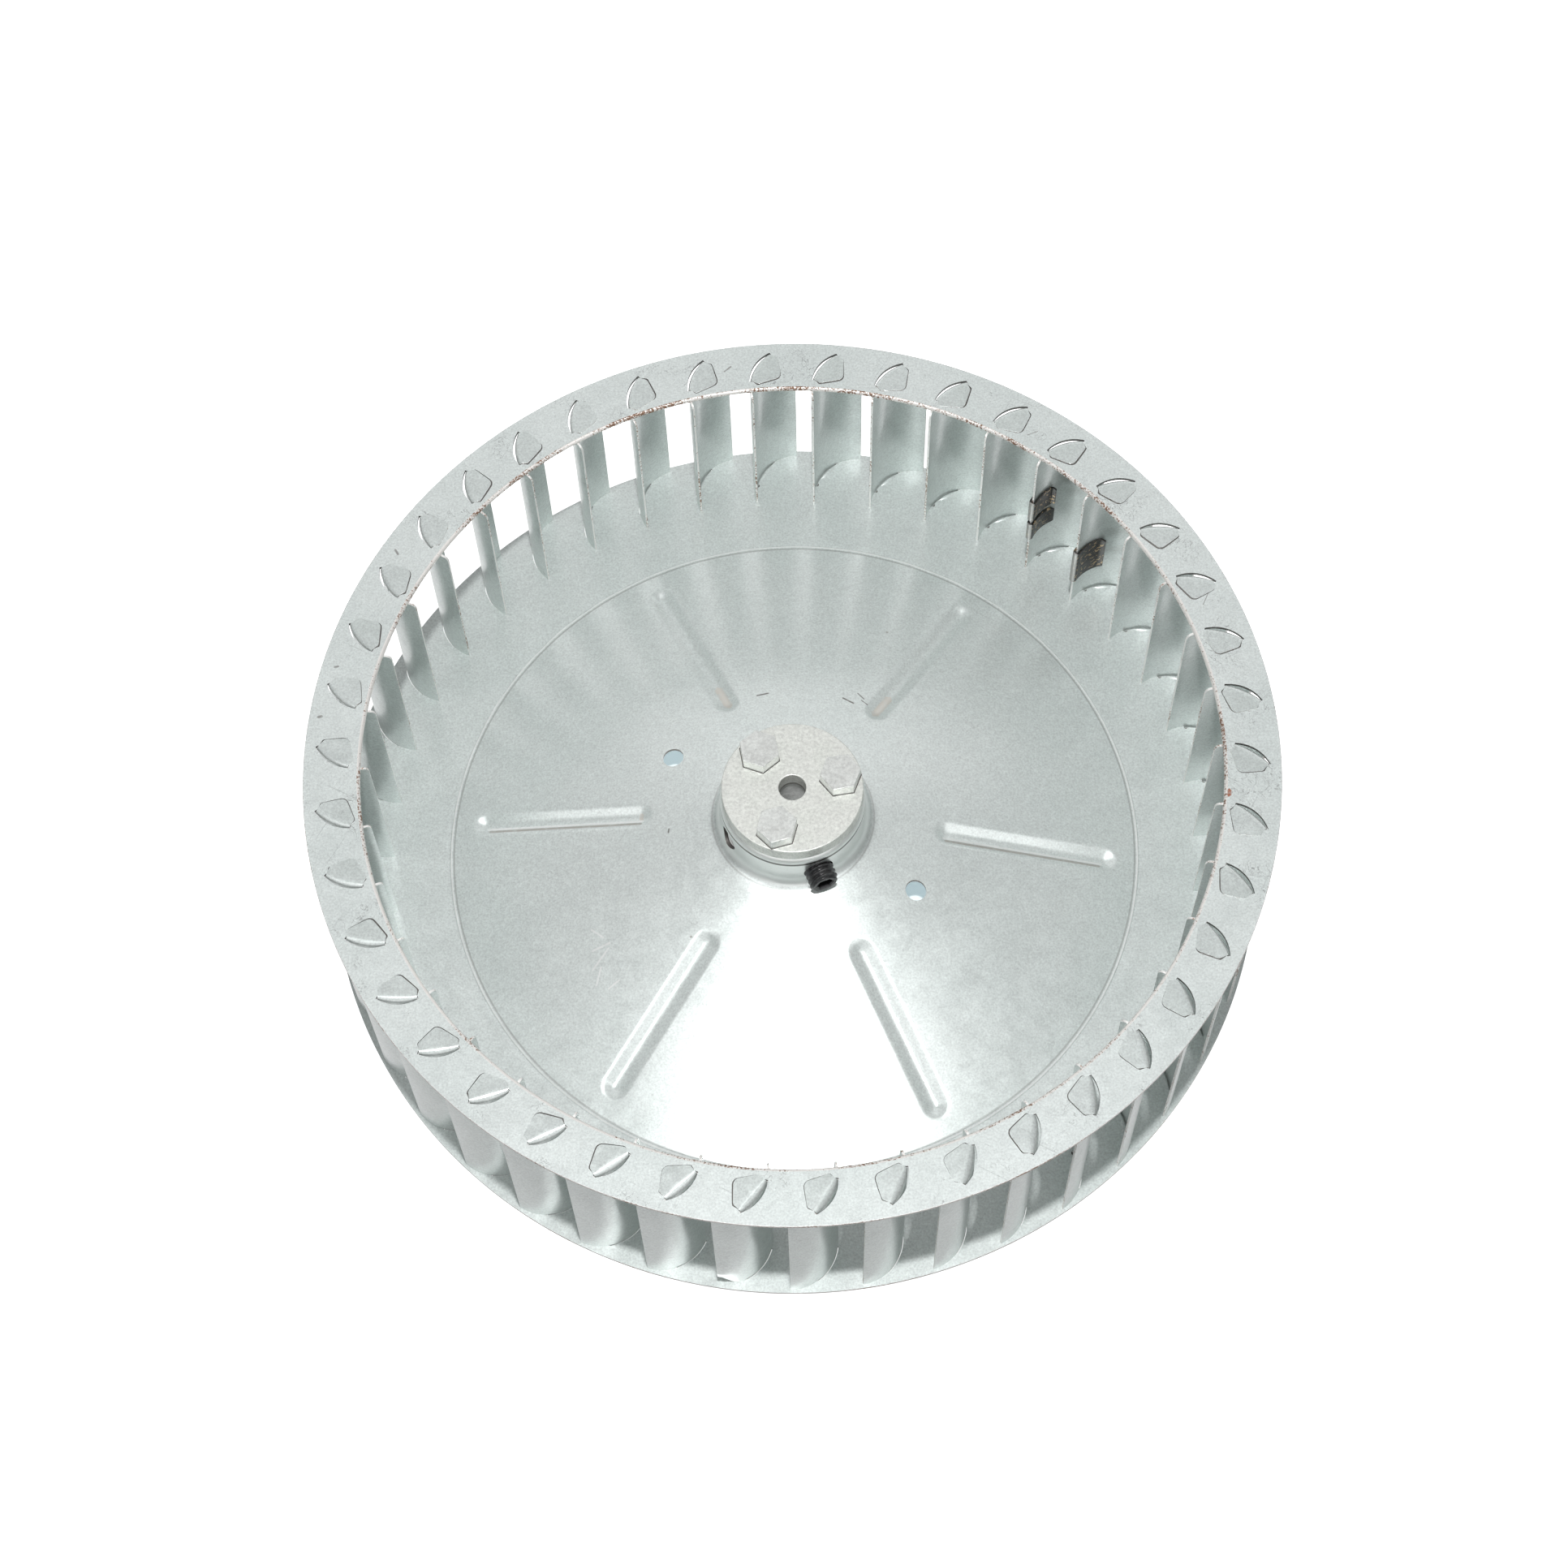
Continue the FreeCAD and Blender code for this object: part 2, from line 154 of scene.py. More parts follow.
def feed(tree, node, inputs):
    """Feeds a node's inputs, by place or by name. One left as None keeps its own value."""
    pairs = inputs.items() if isinstance(inputs, dict) else enumerate(inputs)
    for key, source in pairs:
        if isinstance(source, bpy.types.Node):
            source = source.outputs[0]
        if isinstance(source, bpy.types.NodeSocket):
            tree.links.new(source, node.inputs[key])
        elif source is not None:
            node.inputs[key].default_value = source


def add_node(tree, kind, inputs=(), **settings):
    """New shader node with its settings made and its inputs fed."""
    node = tree.nodes.new("ShaderNode" + kind)
    for name, value in settings.items():
        setattr(node, name, value)
    feed(tree, node, inputs)
    return node


def mix_colours(tree, factor, first, second, blend="MIX"):
    """Mix of two colours, each a socket or three plain values."""
    first, second = (colour + (1.0,) if isinstance(colour, tuple) else colour for colour in (first, second))
    inputs = {0: factor, 6: first, 7: second}
    return add_node(tree, "Mix", inputs, data_type="RGBA", blend_type=blend).outputs[2]


def make_camera():
    """Camera above the near side of the wheel, aimed close to the middle of the back plate."""
    back = Vector((0.0, -math.cos(CAMERA_ELEVATION), math.sin(CAMERA_ELEVATION)))
    right = Vector((1.0, 0.0, 0.0))
    axes = Matrix((right, back.cross(right), back))
    turn = Matrix.Rotation(CAMERA_ROLL, 3, "Z") @ Matrix.Rotation(CAMERA_PITCH, 3, "X")
    turn = turn @ Matrix.Rotation(CAMERA_YAW, 3, "Y")
    matrix = (turn @ axes).transposed().to_4x4()
    matrix.translation = (back * CAMERA_DISTANCE + Vector((0.0, 0.0, PLATE_FRONT))) * MM
    data = bpy.data.cameras.new("camera")
    data.lens = FOCAL_LENGTH
    data.sensor_width = SENSOR
    data.sensor_fit = "HORIZONTAL"
    data.clip_start = 0.01
    camera = bpy.data.objects.new("camera", data)
    bpy.context.scene.collection.objects.link(camera)
    camera.matrix_world = matrix
    bpy.context.scene.camera = camera


def area_light(name, place, size, energy):
    """Round area light aimed at the middle of the wheel."""
    data = bpy.data.lights.new(name, "AREA")
    data.shape = "DISK"
    data.size = size
    data.energy = energy
    light = bpy.data.objects.new(name, data)
    bpy.context.scene.collection.objects.link(light)
    light.location = place
    light.rotation_euler = (LIGHT_AIM - Vector(place)).to_track_quat("-Z", "Y").to_euler()
    return light


def make_world():
    """Studio tent: brightest overhead for matt surfaces, brightest beyond the far side for shiny ones."""
    world = bpy.data.worlds.new("studio")
    bpy.context.scene.world = world
    world.use_nodes = True
    tree = world.node_tree
    way = add_node(tree, "TexCoord").outputs["Generated"]
    path = add_node(tree, "LightPath").outputs
    overhead = add_node(tree, "VectorMath", (way, SKY_WAY), operation="DOT_PRODUCT").outputs["Value"]
    unsigned = add_node(tree, "VectorMath", (way,), operation="ABSOLUTE")
    beyond = add_node(tree, "VectorMath", (unsigned, SHEEN_WAY), operation="DOT_PRODUCT").outputs["Value"]
    sky = add_node(tree, "MapRange", (overhead, *SKY_RAMP))
    sheen = add_node(tree, "MapRange", (beyond, *SHEEN_RAMP))
    dimmed = add_node(tree, "MapRange", (beyond, *HORIZON_RAMP))
    sheen = add_node(tree, "Math", (sheen, dimmed), operation="MULTIPLY")
    unseen = add_node(tree, "Mix", (path["Is Glossy Ray"], None, sky, sheen))
    seen = add_node(tree, "Mix", (path["Is Camera Ray"], None, unseen, 1.0))
    feed(tree, tree.nodes["Background"], ((*WHITE, 1.0), seen))


def make_floor():
    """White sweep: overexposed to the camera, with a painted shadow under the wheel where its glow is dimmer and
    bluish; to shiny surfaces it glows, brighter towards the far side; to everything else it is matt paper,
    lighter towards the far side.
    """
    material = bpy.data.materials.new("white_floor")
    material.use_nodes = True
    tree = material.node_tree
    tree.nodes.clear()
    path = add_node(tree, "LightPath").outputs
    place = add_node(tree, "TexCoord").outputs["Object"]
    ahead = add_node(tree, "SeparateXYZ", (place,)).outputs[1]
    span = add_node(tree, "VectorMath", (place,), operation="LENGTH").outputs["Value"]
    paper = add_node(tree, "BsdfDiffuse", (add_node(tree, "MapRange", (ahead, *PAPER_RAMP)),))
    sheen = add_node(tree, "Emission", (None, add_node(tree, "MapRange", (ahead, *PAPER_SHEEN_RAMP))))
    # Painted shadow: the paper's glow is dimmer and bluish under the wheel.
    shadow_fade = add_node(tree, "MapRange", (span, *PAPER_SHADOW_FADE))
    lift = add_node(tree, "Emission", (mix_colours(tree, shadow_fade, PAPER_SHADOW_TINT, WHITE),))
    bright = add_node(tree, "AddShader", (add_node(tree, "BsdfDiffuse", (PAPER_SEEN,)), lift))
    unseen = add_node(tree, "MixShader", (path["Is Glossy Ray"], paper, sheen))
    add_node(tree, "OutputMaterial", (add_node(tree, "MixShader", (path["Is Camera Ray"], unseen, bright)),))
    half = FLOOR_SIZE / 2.0
    mesh = bpy.data.meshes.new("floor")
    corners = [(-half, -half, 0.0), (half, -half, 0.0), (half, half, 0.0), (-half, half, 0.0)]
    mesh.from_pydata(corners, [], [(0, 1, 2, 3)])
    mesh.materials.append(material)
    floor = bpy.data.objects.new("floor", mesh)
    bpy.context.scene.collection.objects.link(floor)
    floor.location.z = -FLOOR_DROP


make_camera()
make_world()
make_floor()
key_place = (0.0, -math.sin(KEY_TILT) * KEY_DISTANCE, math.cos(KEY_TILT) * KEY_DISTANCE)
area_light("key", key_place, KEY_SIZE, KEY_POWER)
for glow_number, glow_place in enumerate(GLOW_PLACES, start=1):
    # Only shiny surfaces see these two.
    area_light("glow_%d" % glow_number, glow_place, GLOW_SIZE, GLOW_POWER).visible_diffuse = False
bpy.context.scene.view_settings.view_transform = "Standard"

# --- places on the wheel ---


def polar(radius, degrees):
    """Plan point at a radius and angle about the spin axis."""
    return radius * math.cos(math.radians(degrees)), radius * math.sin(math.radians(degrees))


def rotate_plan(outline, degrees):
    """Plan points turned about the spin axis."""
    cos, sin = polar(1.0, degrees)
    return [(x * cos - y * sin, x * sin + y * cos) for x, y in outline]


def blade_angle(index):
    """Angle of a blade's inner edge."""
    return BLADE_PHASE + index * 360.0 / BLADE_COUNT


BLADE_ANGLES = [blade_angle(index) for index in range(BLADE_COUNT)]

# --- materials ---

# Noise and cell scales are in features per metre.
GRAIN_SCALE = 1800.0
FLAKE_SCALE = 700.0
CLOUD_SCALE = 28.0
SMEAR_SCALE = 120.0
CURL_SCALE = 210.0
SPECK_SCALE = 95.0
GRAIN_TINT = (0.83, 1.17)
FLAKE_TINT = (0.96, 1.04)
# Brushed lines: stretch along and across them, and their heading
FINE_LINES = ((35.0, 2600.0, 2600.0), 0.5)
CROSS_LINES = ((30.0, 2200.0, 2200.0), 2.1)
# Painted light: the plate's colour is made lighter on its near side, fading out between these y values in
# metres.
NEAR_SIDE_LIGHT_SPAN = (-0.01, 0.06)
NECK_INSIDE = (0.0195, 0.0200)
NECK_SHINE = (0.0205, 0.0235)
NECK_METAL = 0.55
SPECK_COLOUR = (0.16, 0.11, 0.08)
GREASE_COLOUR = (0.10, 0.11, 0.095)
SMUDGE_COLOUR = (0.30, 0.31, 0.31)
CLIP_RUST = (0.50, 0.36, 0.20)
# Colour of the painted highlight on the clips' folds.
CLIP_FOLD_HIGHLIGHT = (0.50, 0.50, 0.48)
COAT_IOR = 2.6
SHEET_COAT_ROUGHNESS = 0.17
DARK_COAT_ROUGHNESS = 0.24


class Nodes:
    """Short way to build a material's nodes. Colours are sockets or three plain values."""

    def __init__(self, name):
        self.material = bpy.data.materials.new(name)
        self.material.use_nodes = True
        self.tree = self.material.node_tree
        self.shader = self.tree.nodes["Principled BSDF"]
        self.place = add_node(self.tree, "TexCoord").outputs["Object"]
        self.x, self.y, self.z = add_node(self.tree, "SeparateXYZ", (self.place,)).outputs

    def math(self, operation, first, second=0.0, clamp=False):
        return add_node(self.tree, "Math", (first, second), operation=operation, use_clamp=clamp).outputs[0]

    def times(self, first, second, clamp=False):
        return self.math("MULTIPLY", first, second, clamp)

    def gap(self, value, middle):
        """How far a value is from a middle one."""
        return self.math("ABSOLUTE", self.math("SUBTRACT", value, middle))

    def lines(self, stretch, turn):
        """Noise drawn out into fine lines."""
        spun = {"Vector": self.place, "Angle": turn}
        spun = add_node(self.tree, "VectorRotate", spun, rotation_type="Z_AXIS")
        drawn = add_node(self.tree, "Mapping", {"Vector": spun, "Scale": stretch}, vector_type="POINT")
        return self.noise(1.0, 1.0, 0.5, drawn)

    def noise(self, scale, detail=2.0, rough=0.5, vector=None, distortion=0.0):
        inputs = {"Vector": vector or self.place, "Scale": scale, "Detail": detail}
        inputs.update(Roughness=rough, Distortion=distortion)
        return add_node(self.tree, "TexNoise", inputs).outputs["Fac"]

    def cells(self, scale):
        """Distance to the nearest of a scatter of points."""
        return add_node(self.tree, "TexVoronoi", {"Vector": self.place, "Scale": scale}).outputs["Distance"]

    def remap(self, value, low, high, to_low=0.0, to_high=1.0, smooth=True):
        inputs, kind = (value, low, high, to_low, to_high), "SMOOTHSTEP" if smooth else "LINEAR"
        return add_node(self.tree, "MapRange", inputs, interpolation_type=kind).outputs[0]

    def mix(self, factor, first, second, blend="MIX"):
        return mix_colours(self.tree, factor, first, second, blend)

    def bump(self, height, strength, distance):
        inputs = {"Strength": strength, "Distance": distance, "Height": height}
        return add_node(self.tree, "Bump", inputs).outputs["Normal"]

    def strokes(self, strokes):
        """Mask of thin plan strokes, each given as angle, radius, heading, length and width in mm."""
        rough_edge = self.times(self.noise(900.0, 2.0, 0.6), 2.0)
        mask = 0.0
        for degrees, radius, heading, length, width in strokes:
            centre = polar(radius * MM, degrees)
            cos, sin = polar(1.0, heading)
            x = self.math("SUBTRACT", self.x, centre[0])
            y = self.math("SUBTRACT", self.y, centre[1])
            along = self.math("ADD", self.times(x, cos), self.times(y, sin))
            side = self.math("SUBTRACT", self.times(y, cos), self.times(x, sin))
            past = self.math("SUBTRACT", self.math("ABSOLUTE", along), length * MM / 2.0, True)
            away = self.math("ADD", self.math("ABSOLUTE", side), past)
            one = self.remap(away, width * MM * 0.4, width * MM, 1.0, 0.0)
            mask = self.math("MAXIMUM", one, mask)
        return self.times(mask, rough_edge, True)

    def coat(self, weight, roughness):
        """Thin bright lobe over the matt one, for the sharper part of the sheet's reflection."""
        feed(self.tree, self.shader, {"Coat Weight": weight, "Coat Roughness": roughness, "Coat IOR": COAT_IOR})

    def radius(self):
        """Distance from the spin axis."""
        return self.math("SQRT", self.math("ADD", self.times(self.x, self.x), self.times(self.y, self.y)))

    def finish(self, colour, roughness, normal, metallic=0.33):
        inputs = {"Base Color": colour, "Roughness": roughness, "Normal": normal, "Metallic": metallic}
        feed(self.tree, self.shader, inputs)
        return self.material


def galvanised(name, colour, dull, roughness, smudge, scratch, grain_depth=0.00002, marks_and_light_lines=(), light_bands=(),
               grease=(), lip_light_lines=(), coat=0.4, metal=0.33, near_side_light_gain=1.0):
    """Zinc-coated sheet: sandy grain, faint clouds, smudges, thin scratches and a few specks."""
    n = Nodes(name)
    grain = n.noise(GRAIN_SCALE, 3.0, 0.7)
    flake = n.noise(FLAKE_SCALE, 2.0, 0.6)
    cloud = n.noise(CLOUD_SCALE, 4.0, 0.55, distortion=0.4)
    smear = n.noise(SMEAR_SCALE, 5.0, 0.65, distortion=1.2)
    base = n.mix(n.remap(cloud, 0.35, 0.7), colour, dull)
    tint = n.remap(grain, 0.3, 0.7, *GRAIN_TINT, smooth=False)
    tint = n.times(tint, n.remap(flake, 0.3, 0.7, *FLAKE_TINT, smooth=False))
    tint = n.math("SUBTRACT", tint, n.times(n.remap(smear, 0.58, 0.8), smudge))
    fine, cross = n.lines(*FINE_LINES), n.lines(*CROSS_LINES)
    lines = n.math("MAXIMUM", n.remap(fine, 0.66, 0.72), n.remap(cross, 0.68, 0.73))
    lines = n.times(lines, n.remap(n.noise(60.0, 2.0), 0.5, 0.7))
    tint = n.math("SUBTRACT", tint, n.times(lines, scratch))
    # Painted light: the colour is lighter on the near side (low y) by this gain.
    if near_side_light_gain != 1.0:
        tint = n.times(tint, n.remap(n.y, *NEAR_SIDE_LIGHT_SPAN, near_side_light_gain, 1.0))
    shaded = n.mix(1.0, base, tint, "MULTIPLY")
    speck = n.remap(n.cells(SPECK_SCALE), 0.02, 0.045, 1.0, 0.0)
    speck = n.times(speck, n.remap(n.noise(45.0), 0.55, 0.66))
    shaded = n.mix(n.times(speck, 0.6), shaded, SPECK_COLOUR)
    # Painted light: circles of painted highlight and painted shade.
    for middle, width, tone, strength in light_bands:
        away = n.gap(n.radius(), middle * MM)
        shaded = n.mix(n.remap(away, width * MM * 0.4, width * MM, strength, 0.0), shaded, tone)
    n.coat(coat, SHEET_COAT_ROUGHNESS)
    for degrees, distance, height, reach, strength in grease:
        centre = (*polar(distance * MM, degrees), height * MM)
        away = add_node(n.tree, "VectorMath", (n.place, centre), operation="DISTANCE").outputs["Value"]
        patch = n.math("ADD", away, n.times(n.noise(260.0, 3.0, 0.6), 0.004))
        shaded = n.mix(n.remap(patch, 0.002, reach * MM, strength, 0.0), shaded, GREASE_COLOUR)
    curl = n.gap(n.noise(CURL_SCALE, 3.0, 0.6, distortion=1.6), 0.5)
    curl = n.times(n.remap(curl, 0.004, 0.014, 1.0, 0.0), n.remap(n.noise(75.0, 2.0), 0.54, 0.66))
    shaded = n.mix(n.times(curl, smudge * 3.4, True), shaded, SMUDGE_COLOUR)
    # Painted shade and painted highlight lines round the neck.
    for height, width, tone, strength in lip_light_lines:
        inside = n.remap(n.radius(), *NECK_INSIDE, strength, 0.0)
        line = n.remap(n.gap(n.z, height * MM), width * MM * 0.5, width * MM, 1.0, 0.0)
        shaded = n.mix(n.times(inside, line), shaded, tone)
    # Strokes of colour: on the ring rust and scratches; on the plate dashes and scratches, and also painted
    # shade and painted highlight lines.
    for mark_and_light_colour, strokes in marks_and_light_lines:
        shaded = n.mix(n.strokes(strokes), shaded, mark_and_light_colour)
    rough = n.remap(smear, 0.3, 0.75, roughness - 0.04, roughness + 0.08)
    normal = n.bump(n.math("ADD", grain, n.times(flake, 0.5)), 0.3, grain_depth)
    return n.finish(shaded, rough, normal, n.remap(n.radius(), *NECK_SHINE, metal + NECK_METAL, metal))


def sheared_edge(name, bright, rust, rust_share, far_rust=0.0):
    """Cut edge of the sheet: bare bright metal with patches of brown rust."""
    n = Nodes(name)
    patch = n.noise(1700.0, 2.0, 0.7)
    wide = n.noise(60.0, 2.0, 0.5)
    amount = n.math("ADD", patch, n.times(n.math("SUBTRACT", wide, 0.5), 0.7))
    amount = n.math("ADD", amount, n.remap(n.y, 0.05, 0.1, 0.0, far_rust))
    amount = n.remap(amount, 0.62 - rust_share, 0.74 - rust_share)
    rough = n.remap(patch, 0.3, 0.7, 0.35, 0.6)
    return n.finish(n.mix(amount, bright, rust), rough, n.bump(n.noise(2400.0, 2.0), 0.5, 0.00004))


def cast_zinc(name, colour, dull, roughness, grain_depth):
    """Tumbled zinc-plated steel with a coarse, sandy grain."""
    n = Nodes(name)
    grain = n.noise(1200.0, 4.0, 0.75)
    pits = n.cells(1300.0)
    cloud = n.noise(180.0, 4.0, 0.6)
    base = n.mix(n.remap(cloud, 0.35, 0.7), colour, dull)
    shaded = n.mix(1.0, base, n.remap(grain, 0.3, 0.7, 0.76, 1.16, smooth=False), "MULTIPLY")
    normal = n.bump(n.math("ADD", grain, n.times(pits, 0.4)), 0.5, grain_depth)
    rough = n.remap(cloud, 0.3, 0.7, roughness - 0.06, roughness + 0.08)
    return n.finish(shaded, rough, normal, 0.55)


def dark_steel(name, colour, worn, roughness, wear, rust_amount=0.0, shine=0.15, fold_highlight=None):
    """Black oxide or spring steel with lighter wear, a little rust, and a painted highlight inside a radius,
    where a clip folds over a blade's edge.
    """
    n = Nodes(name)
    fine = n.noise(1700.0, 3.0, 0.6)
    cloud = n.noise(260.0, 3.0, 0.6)
    base = n.mix(n.times(n.remap(cloud, 0.5, 0.75), wear), colour, worn)
    rust = n.remap(n.noise(800.0, 2.0, 0.7), 0.575, 0.63, 0.0, rust_amount)
    rust = n.times(rust, n.remap(n.noise(200.0, 2.0, 0.6), 0.3, 0.5))
    base = n.mix(rust, base, CLIP_RUST)
    if fold_highlight:
        # Painted highlight: a light grey on the clip's fold, inside the given radius.
        bare = n.remap(n.radius(), fold_highlight[0] * MM, fold_highlight[1] * MM, 0.8, 0.0)
        base = n.mix(bare, base, CLIP_FOLD_HIGHLIGHT)
    rough = n.remap(fine, 0.3, 0.7, roughness - 0.08, roughness + 0.1)
    n.coat(shine, DARK_COAT_ROUGHNESS)
    return n.finish(base, rough, n.bump(fine, 0.35, 0.00003), 0.7)


WEST_RIB = RIB_PHASE + 180.0
EAST_RIB = RIB_PHASE
GROOVE_LINE_RADIUS = 62.0
# Painted light round the neck, under the clamp disc: a painted shade line below the neck's rounded top edge and
# a painted highlight line on that edge: height, half width, colour and strength
NECK_LIGHT_LINES = (
    (NECK_TOP - 2.7, 0.65, (0.12, 0.12, 0.11), 1.0),
    (NECK_TOP - 1.2, 0.9, (0.98, 0.99, 0.97), 0.7),
)
# Painted light on the plate as circles: painted shade and a painted highlight on the two sides of the crease, a
# painted highlight on the neck and a painted shade line on its fillet: radius, half width, colour and strength
PLATE_LIGHT_BANDS = (
    (92.75, 0.35, (0.30, 0.31, 0.30), 0.55),
    (93.5, 0.3, (0.96, 0.98, 0.97), 0.8),
    (19.6, 1.4, (0.93, 0.955, 0.94), 0.9),
    (21.7, 0.3, (0.42, 0.43, 0.42), 0.45),
)
# Painted strokes: a colour and its strokes, each angle, radius, heading, length and width
RING_MARKS = (
    ((0.42, 0.15, 0.08), ((-7.2, 111.9, 80.0, 1.2, 0.9),)),
    ((0.34, 0.34, 0.33), (
        (97.0, 118.5, 40.0, 2.4, 0.3),
        (57.5, 119.0, 75.0, 3.0, 0.2),
        (54.5, 116.0, 20.0, 3.0, 0.16),
        (40.5, 118.0, -30.0, 4.0, 0.16),
        (21.0, 117.5, 65.0, 3.6, 0.14),
        (148.5, 121.0, -60.0, 1.6, 0.4),
        (173.0, 122.5, 10.0, 1.0, 0.5),
        (166.0, 121.5, 10.0, 1.0, 0.4),
    )),
)
PLATE_MARKS_AND_LIGHT_LINES = (
    # Painted shade: dark lines on the walls of the west and east grooves.
    ((0.50, 0.48, 0.45), (
        (WEST_RIB + 1.9, GROOVE_LINE_RADIUS, WEST_RIB, 42.0, 0.55),
        (EAST_RIB - 1.9, GROOVE_LINE_RADIUS, EAST_RIB, 42.0, 0.55),
    )),
    # Darker beige near the inner ends of three grooves.
    ((0.70, 0.675, 0.62), (
        (RIB_PHASE + 60.0, 43.5, RIB_PHASE + 60.0, 7.0, 1.5),
        (RIB_PHASE + 120.0, 43.5, RIB_PHASE + 120.0, 7.0, 1.5),
        (WEST_RIB, 41.0, RIB_PHASE + 90.0, 1.6, 0.8),
    )),
    ((0.16, 0.15, 0.14), (
        (100.7, 40.0, 12.0, 3.2, 0.3),
        (66.5, 40.0, -32.0, 3.4, 0.3),
        (63.0, 43.0, -50.0, 2.6, 0.22),
        (60.5, 41.5, -42.0, 2.2, 0.2),
        (-177.0, 33.5, 80.0, 1.0, 0.3),
    )),
    # White scratches, and painted highlight lines on the west and east grooves.
    ((0.95, 0.97, 0.96), (
        (-146.0, 63.0, 52.0, 7.0, 0.34),
        (-148.5, 61.0, 20.0, 5.0, 0.38),
        (-152.0, 60.0, -38.0, 4.0, 0.32),
        (-143.0, 66.0, 75.0, 5.0, 0.30),
        (-139.0, 64.5, 35.0, 3.5, 0.32),
        (WEST_RIB + 1.1, GROOVE_LINE_RADIUS, WEST_RIB, 43.0, 0.5),
        (EAST_RIB - 1.1, GROOVE_LINE_RADIUS, EAST_RIB, 43.0, 0.5),
    )),
)
# Blades that carry the balance clips, and the grease on them: angle, radius, height, reach and strength
PAIR_BLADE = 6
SINGLE_BLADE = 5
GREASE = (
    (blade_angle(PAIR_BLADE) - 3.2, 117.0, 41.0, 10.0, 0.85),
    (blade_angle(PAIR_BLADE) - 3.6, 118.5, 33.0, 8.0, 0.8),
    (blade_angle(SINGLE_BLADE) - 3.0, 117.0, 31.0, 9.0, 0.75),
    (blade_angle(SINGLE_BLADE) - 3.8, 119.0, 22.0, 8.0, 0.7),
)
BLADE_LOOK = ((0.725, 0.78, 0.765), (0.66, 0.72, 0.70), 0.34, 0.10, 0.17)
# Radii in mm inside which the clips' folds get a painted highlight.
CLIP_FOLD_HIGHLIGHT_SPAN = (108.1, 108.6)

ring_steel = galvanised("galvanised_ring", (0.785, 0.84, 0.825), (0.73, 0.79, 0.775), 0.39, 0.20, 0.26,
                        marks_and_light_lines=RING_MARKS, metal=0.27)
# The plate's colour carries painted light: a lighter near side, and painted highlight and painted shade circles,
# lines and strokes.
plate_steel = galvanised("galvanised_plate", (0.75, 0.80, 0.785), (0.71, 0.765, 0.75), 0.34, 0.05, 0.10,
                         0.00003, PLATE_MARKS_AND_LIGHT_LINES, PLATE_LIGHT_BANDS, lip_light_lines=NECK_LIGHT_LINES, coat=0.34, near_side_light_gain=1.05)
blade_steel = galvanised("galvanised_blade", *BLADE_LOOK)
greasy_blade = galvanised("galvanised_blade_greasy", *BLADE_LOOK, grease=GREASE)
# Painted shade: a dark colour lining the tab slots, the tab pockets, the foot pits, the side holes and the bolt
# head pockets, where shade falls in the gaps.
gap_shade = galvanised("painted_gap_shade", (0.17, 0.16, 0.15), (0.10, 0.09, 0.085), 0.6, 0.1, 0.1)
inner_edge = sheared_edge("sheared_inner_edge", (0.86, 0.84, 0.81), (0.24, 0.14, 0.09), 0.05, 0.09)
outer_edge = sheared_edge("sheared_outer_edge", (0.74, 0.72, 0.70), (0.36, 0.26, 0.21), 0.06)
blade_edge = sheared_edge("sheared_blade_edge", (0.93, 0.93, 0.91), (0.33, 0.22, 0.16), 0.04, 0.04)
# Painted shade on cut edges: the edge's grain and rust patches are real, but its dark grey stands in for shade
# inside the round holes, the bolt holes and the centre hole.
shaded_cut_edge = sheared_edge("sheared_edge_painted_shade", (0.30, 0.29, 0.27), (0.10, 0.08, 0.065), 0.0)
disc_zinc = cast_zinc("zinc_disc", (0.85, 0.865, 0.825), (0.75, 0.77, 0.73), 0.46, 0.00005)
bolt_zinc = cast_zinc("zinc_bolt", (0.89, 0.91, 0.885), (0.83, 0.855, 0.83), 0.36, 0.00002)
hub_metal = cast_zinc("turned_hub", (0.60, 0.615, 0.60), (0.48, 0.50, 0.48), 0.38, 0.00002)
oxide = dark_steel("black_oxide", (0.035, 0.035, 0.037), (0.20, 0.20, 0.20), 0.42, 0.5)
spring = dark_steel("spring_steel", (0.020, 0.018, 0.016), (0.080, 0.072, 0.060), 0.42, 0.6, 0.9, 0.2,
                    CLIP_FOLD_HIGHLIGHT_SPAN)

# --- mesh helpers ---

SHARP_CUT = math.radians(32.0)
BLADE_SOFT = 0.09


def radians(values):
    return np.radians(np.asarray(values, float))


def make_object(name, points, faces, materials, face_materials=None, weld=0.0):
    """Mesh object from points in millimetres, with outward normals and smooth faces."""
    mesh = bpy.data.meshes.new(name)
    mesh.from_pydata((np.asarray(points, float) * MM).tolist(), [], faces)
    for material in materials:
        mesh.materials.append(material)
    if face_materials is not None:
        mesh.polygons.foreach_set("material_index", face_materials)
    mesh.validate()
    work = bmesh.new()
    work.from_mesh(mesh)
    if weld:
        bmesh.ops.remove_doubles(work, verts=work.verts, dist=weld * MM)
    bmesh.ops.recalc_face_normals(work, faces=work.faces)
    work.to_mesh(mesh)
    work.free()
    mesh.polygons.foreach_set("use_smooth", [True] * len(mesh.polygons))
    thing = bpy.data.objects.new(name, mesh)
    bpy.context.scene.collection.objects.link(thing)
    return thing


def grid_faces(rows, columns, wrap_rows, wrap_columns, offset=0):
    """Quads over a grid of points, row by row."""
    faces = []
    for row in range(rows if wrap_rows else rows - 1):
        below = (row + 1) % rows
        for column in range(columns if wrap_columns else columns - 1):
            beside = (column + 1) % columns
            corners = ((row, column), (row, beside), (below, beside), (below, column))
            faces.append(tuple(offset + along * columns + across for along, across in corners))
    return faces


def add_modifier(thing, kind, **settings):
    """Gives a piece a modifier with its settings made."""
    step = thing.modifiers.new(kind.lower(), kind)
    for name, value in settings.items():
        setattr(step, name, value)


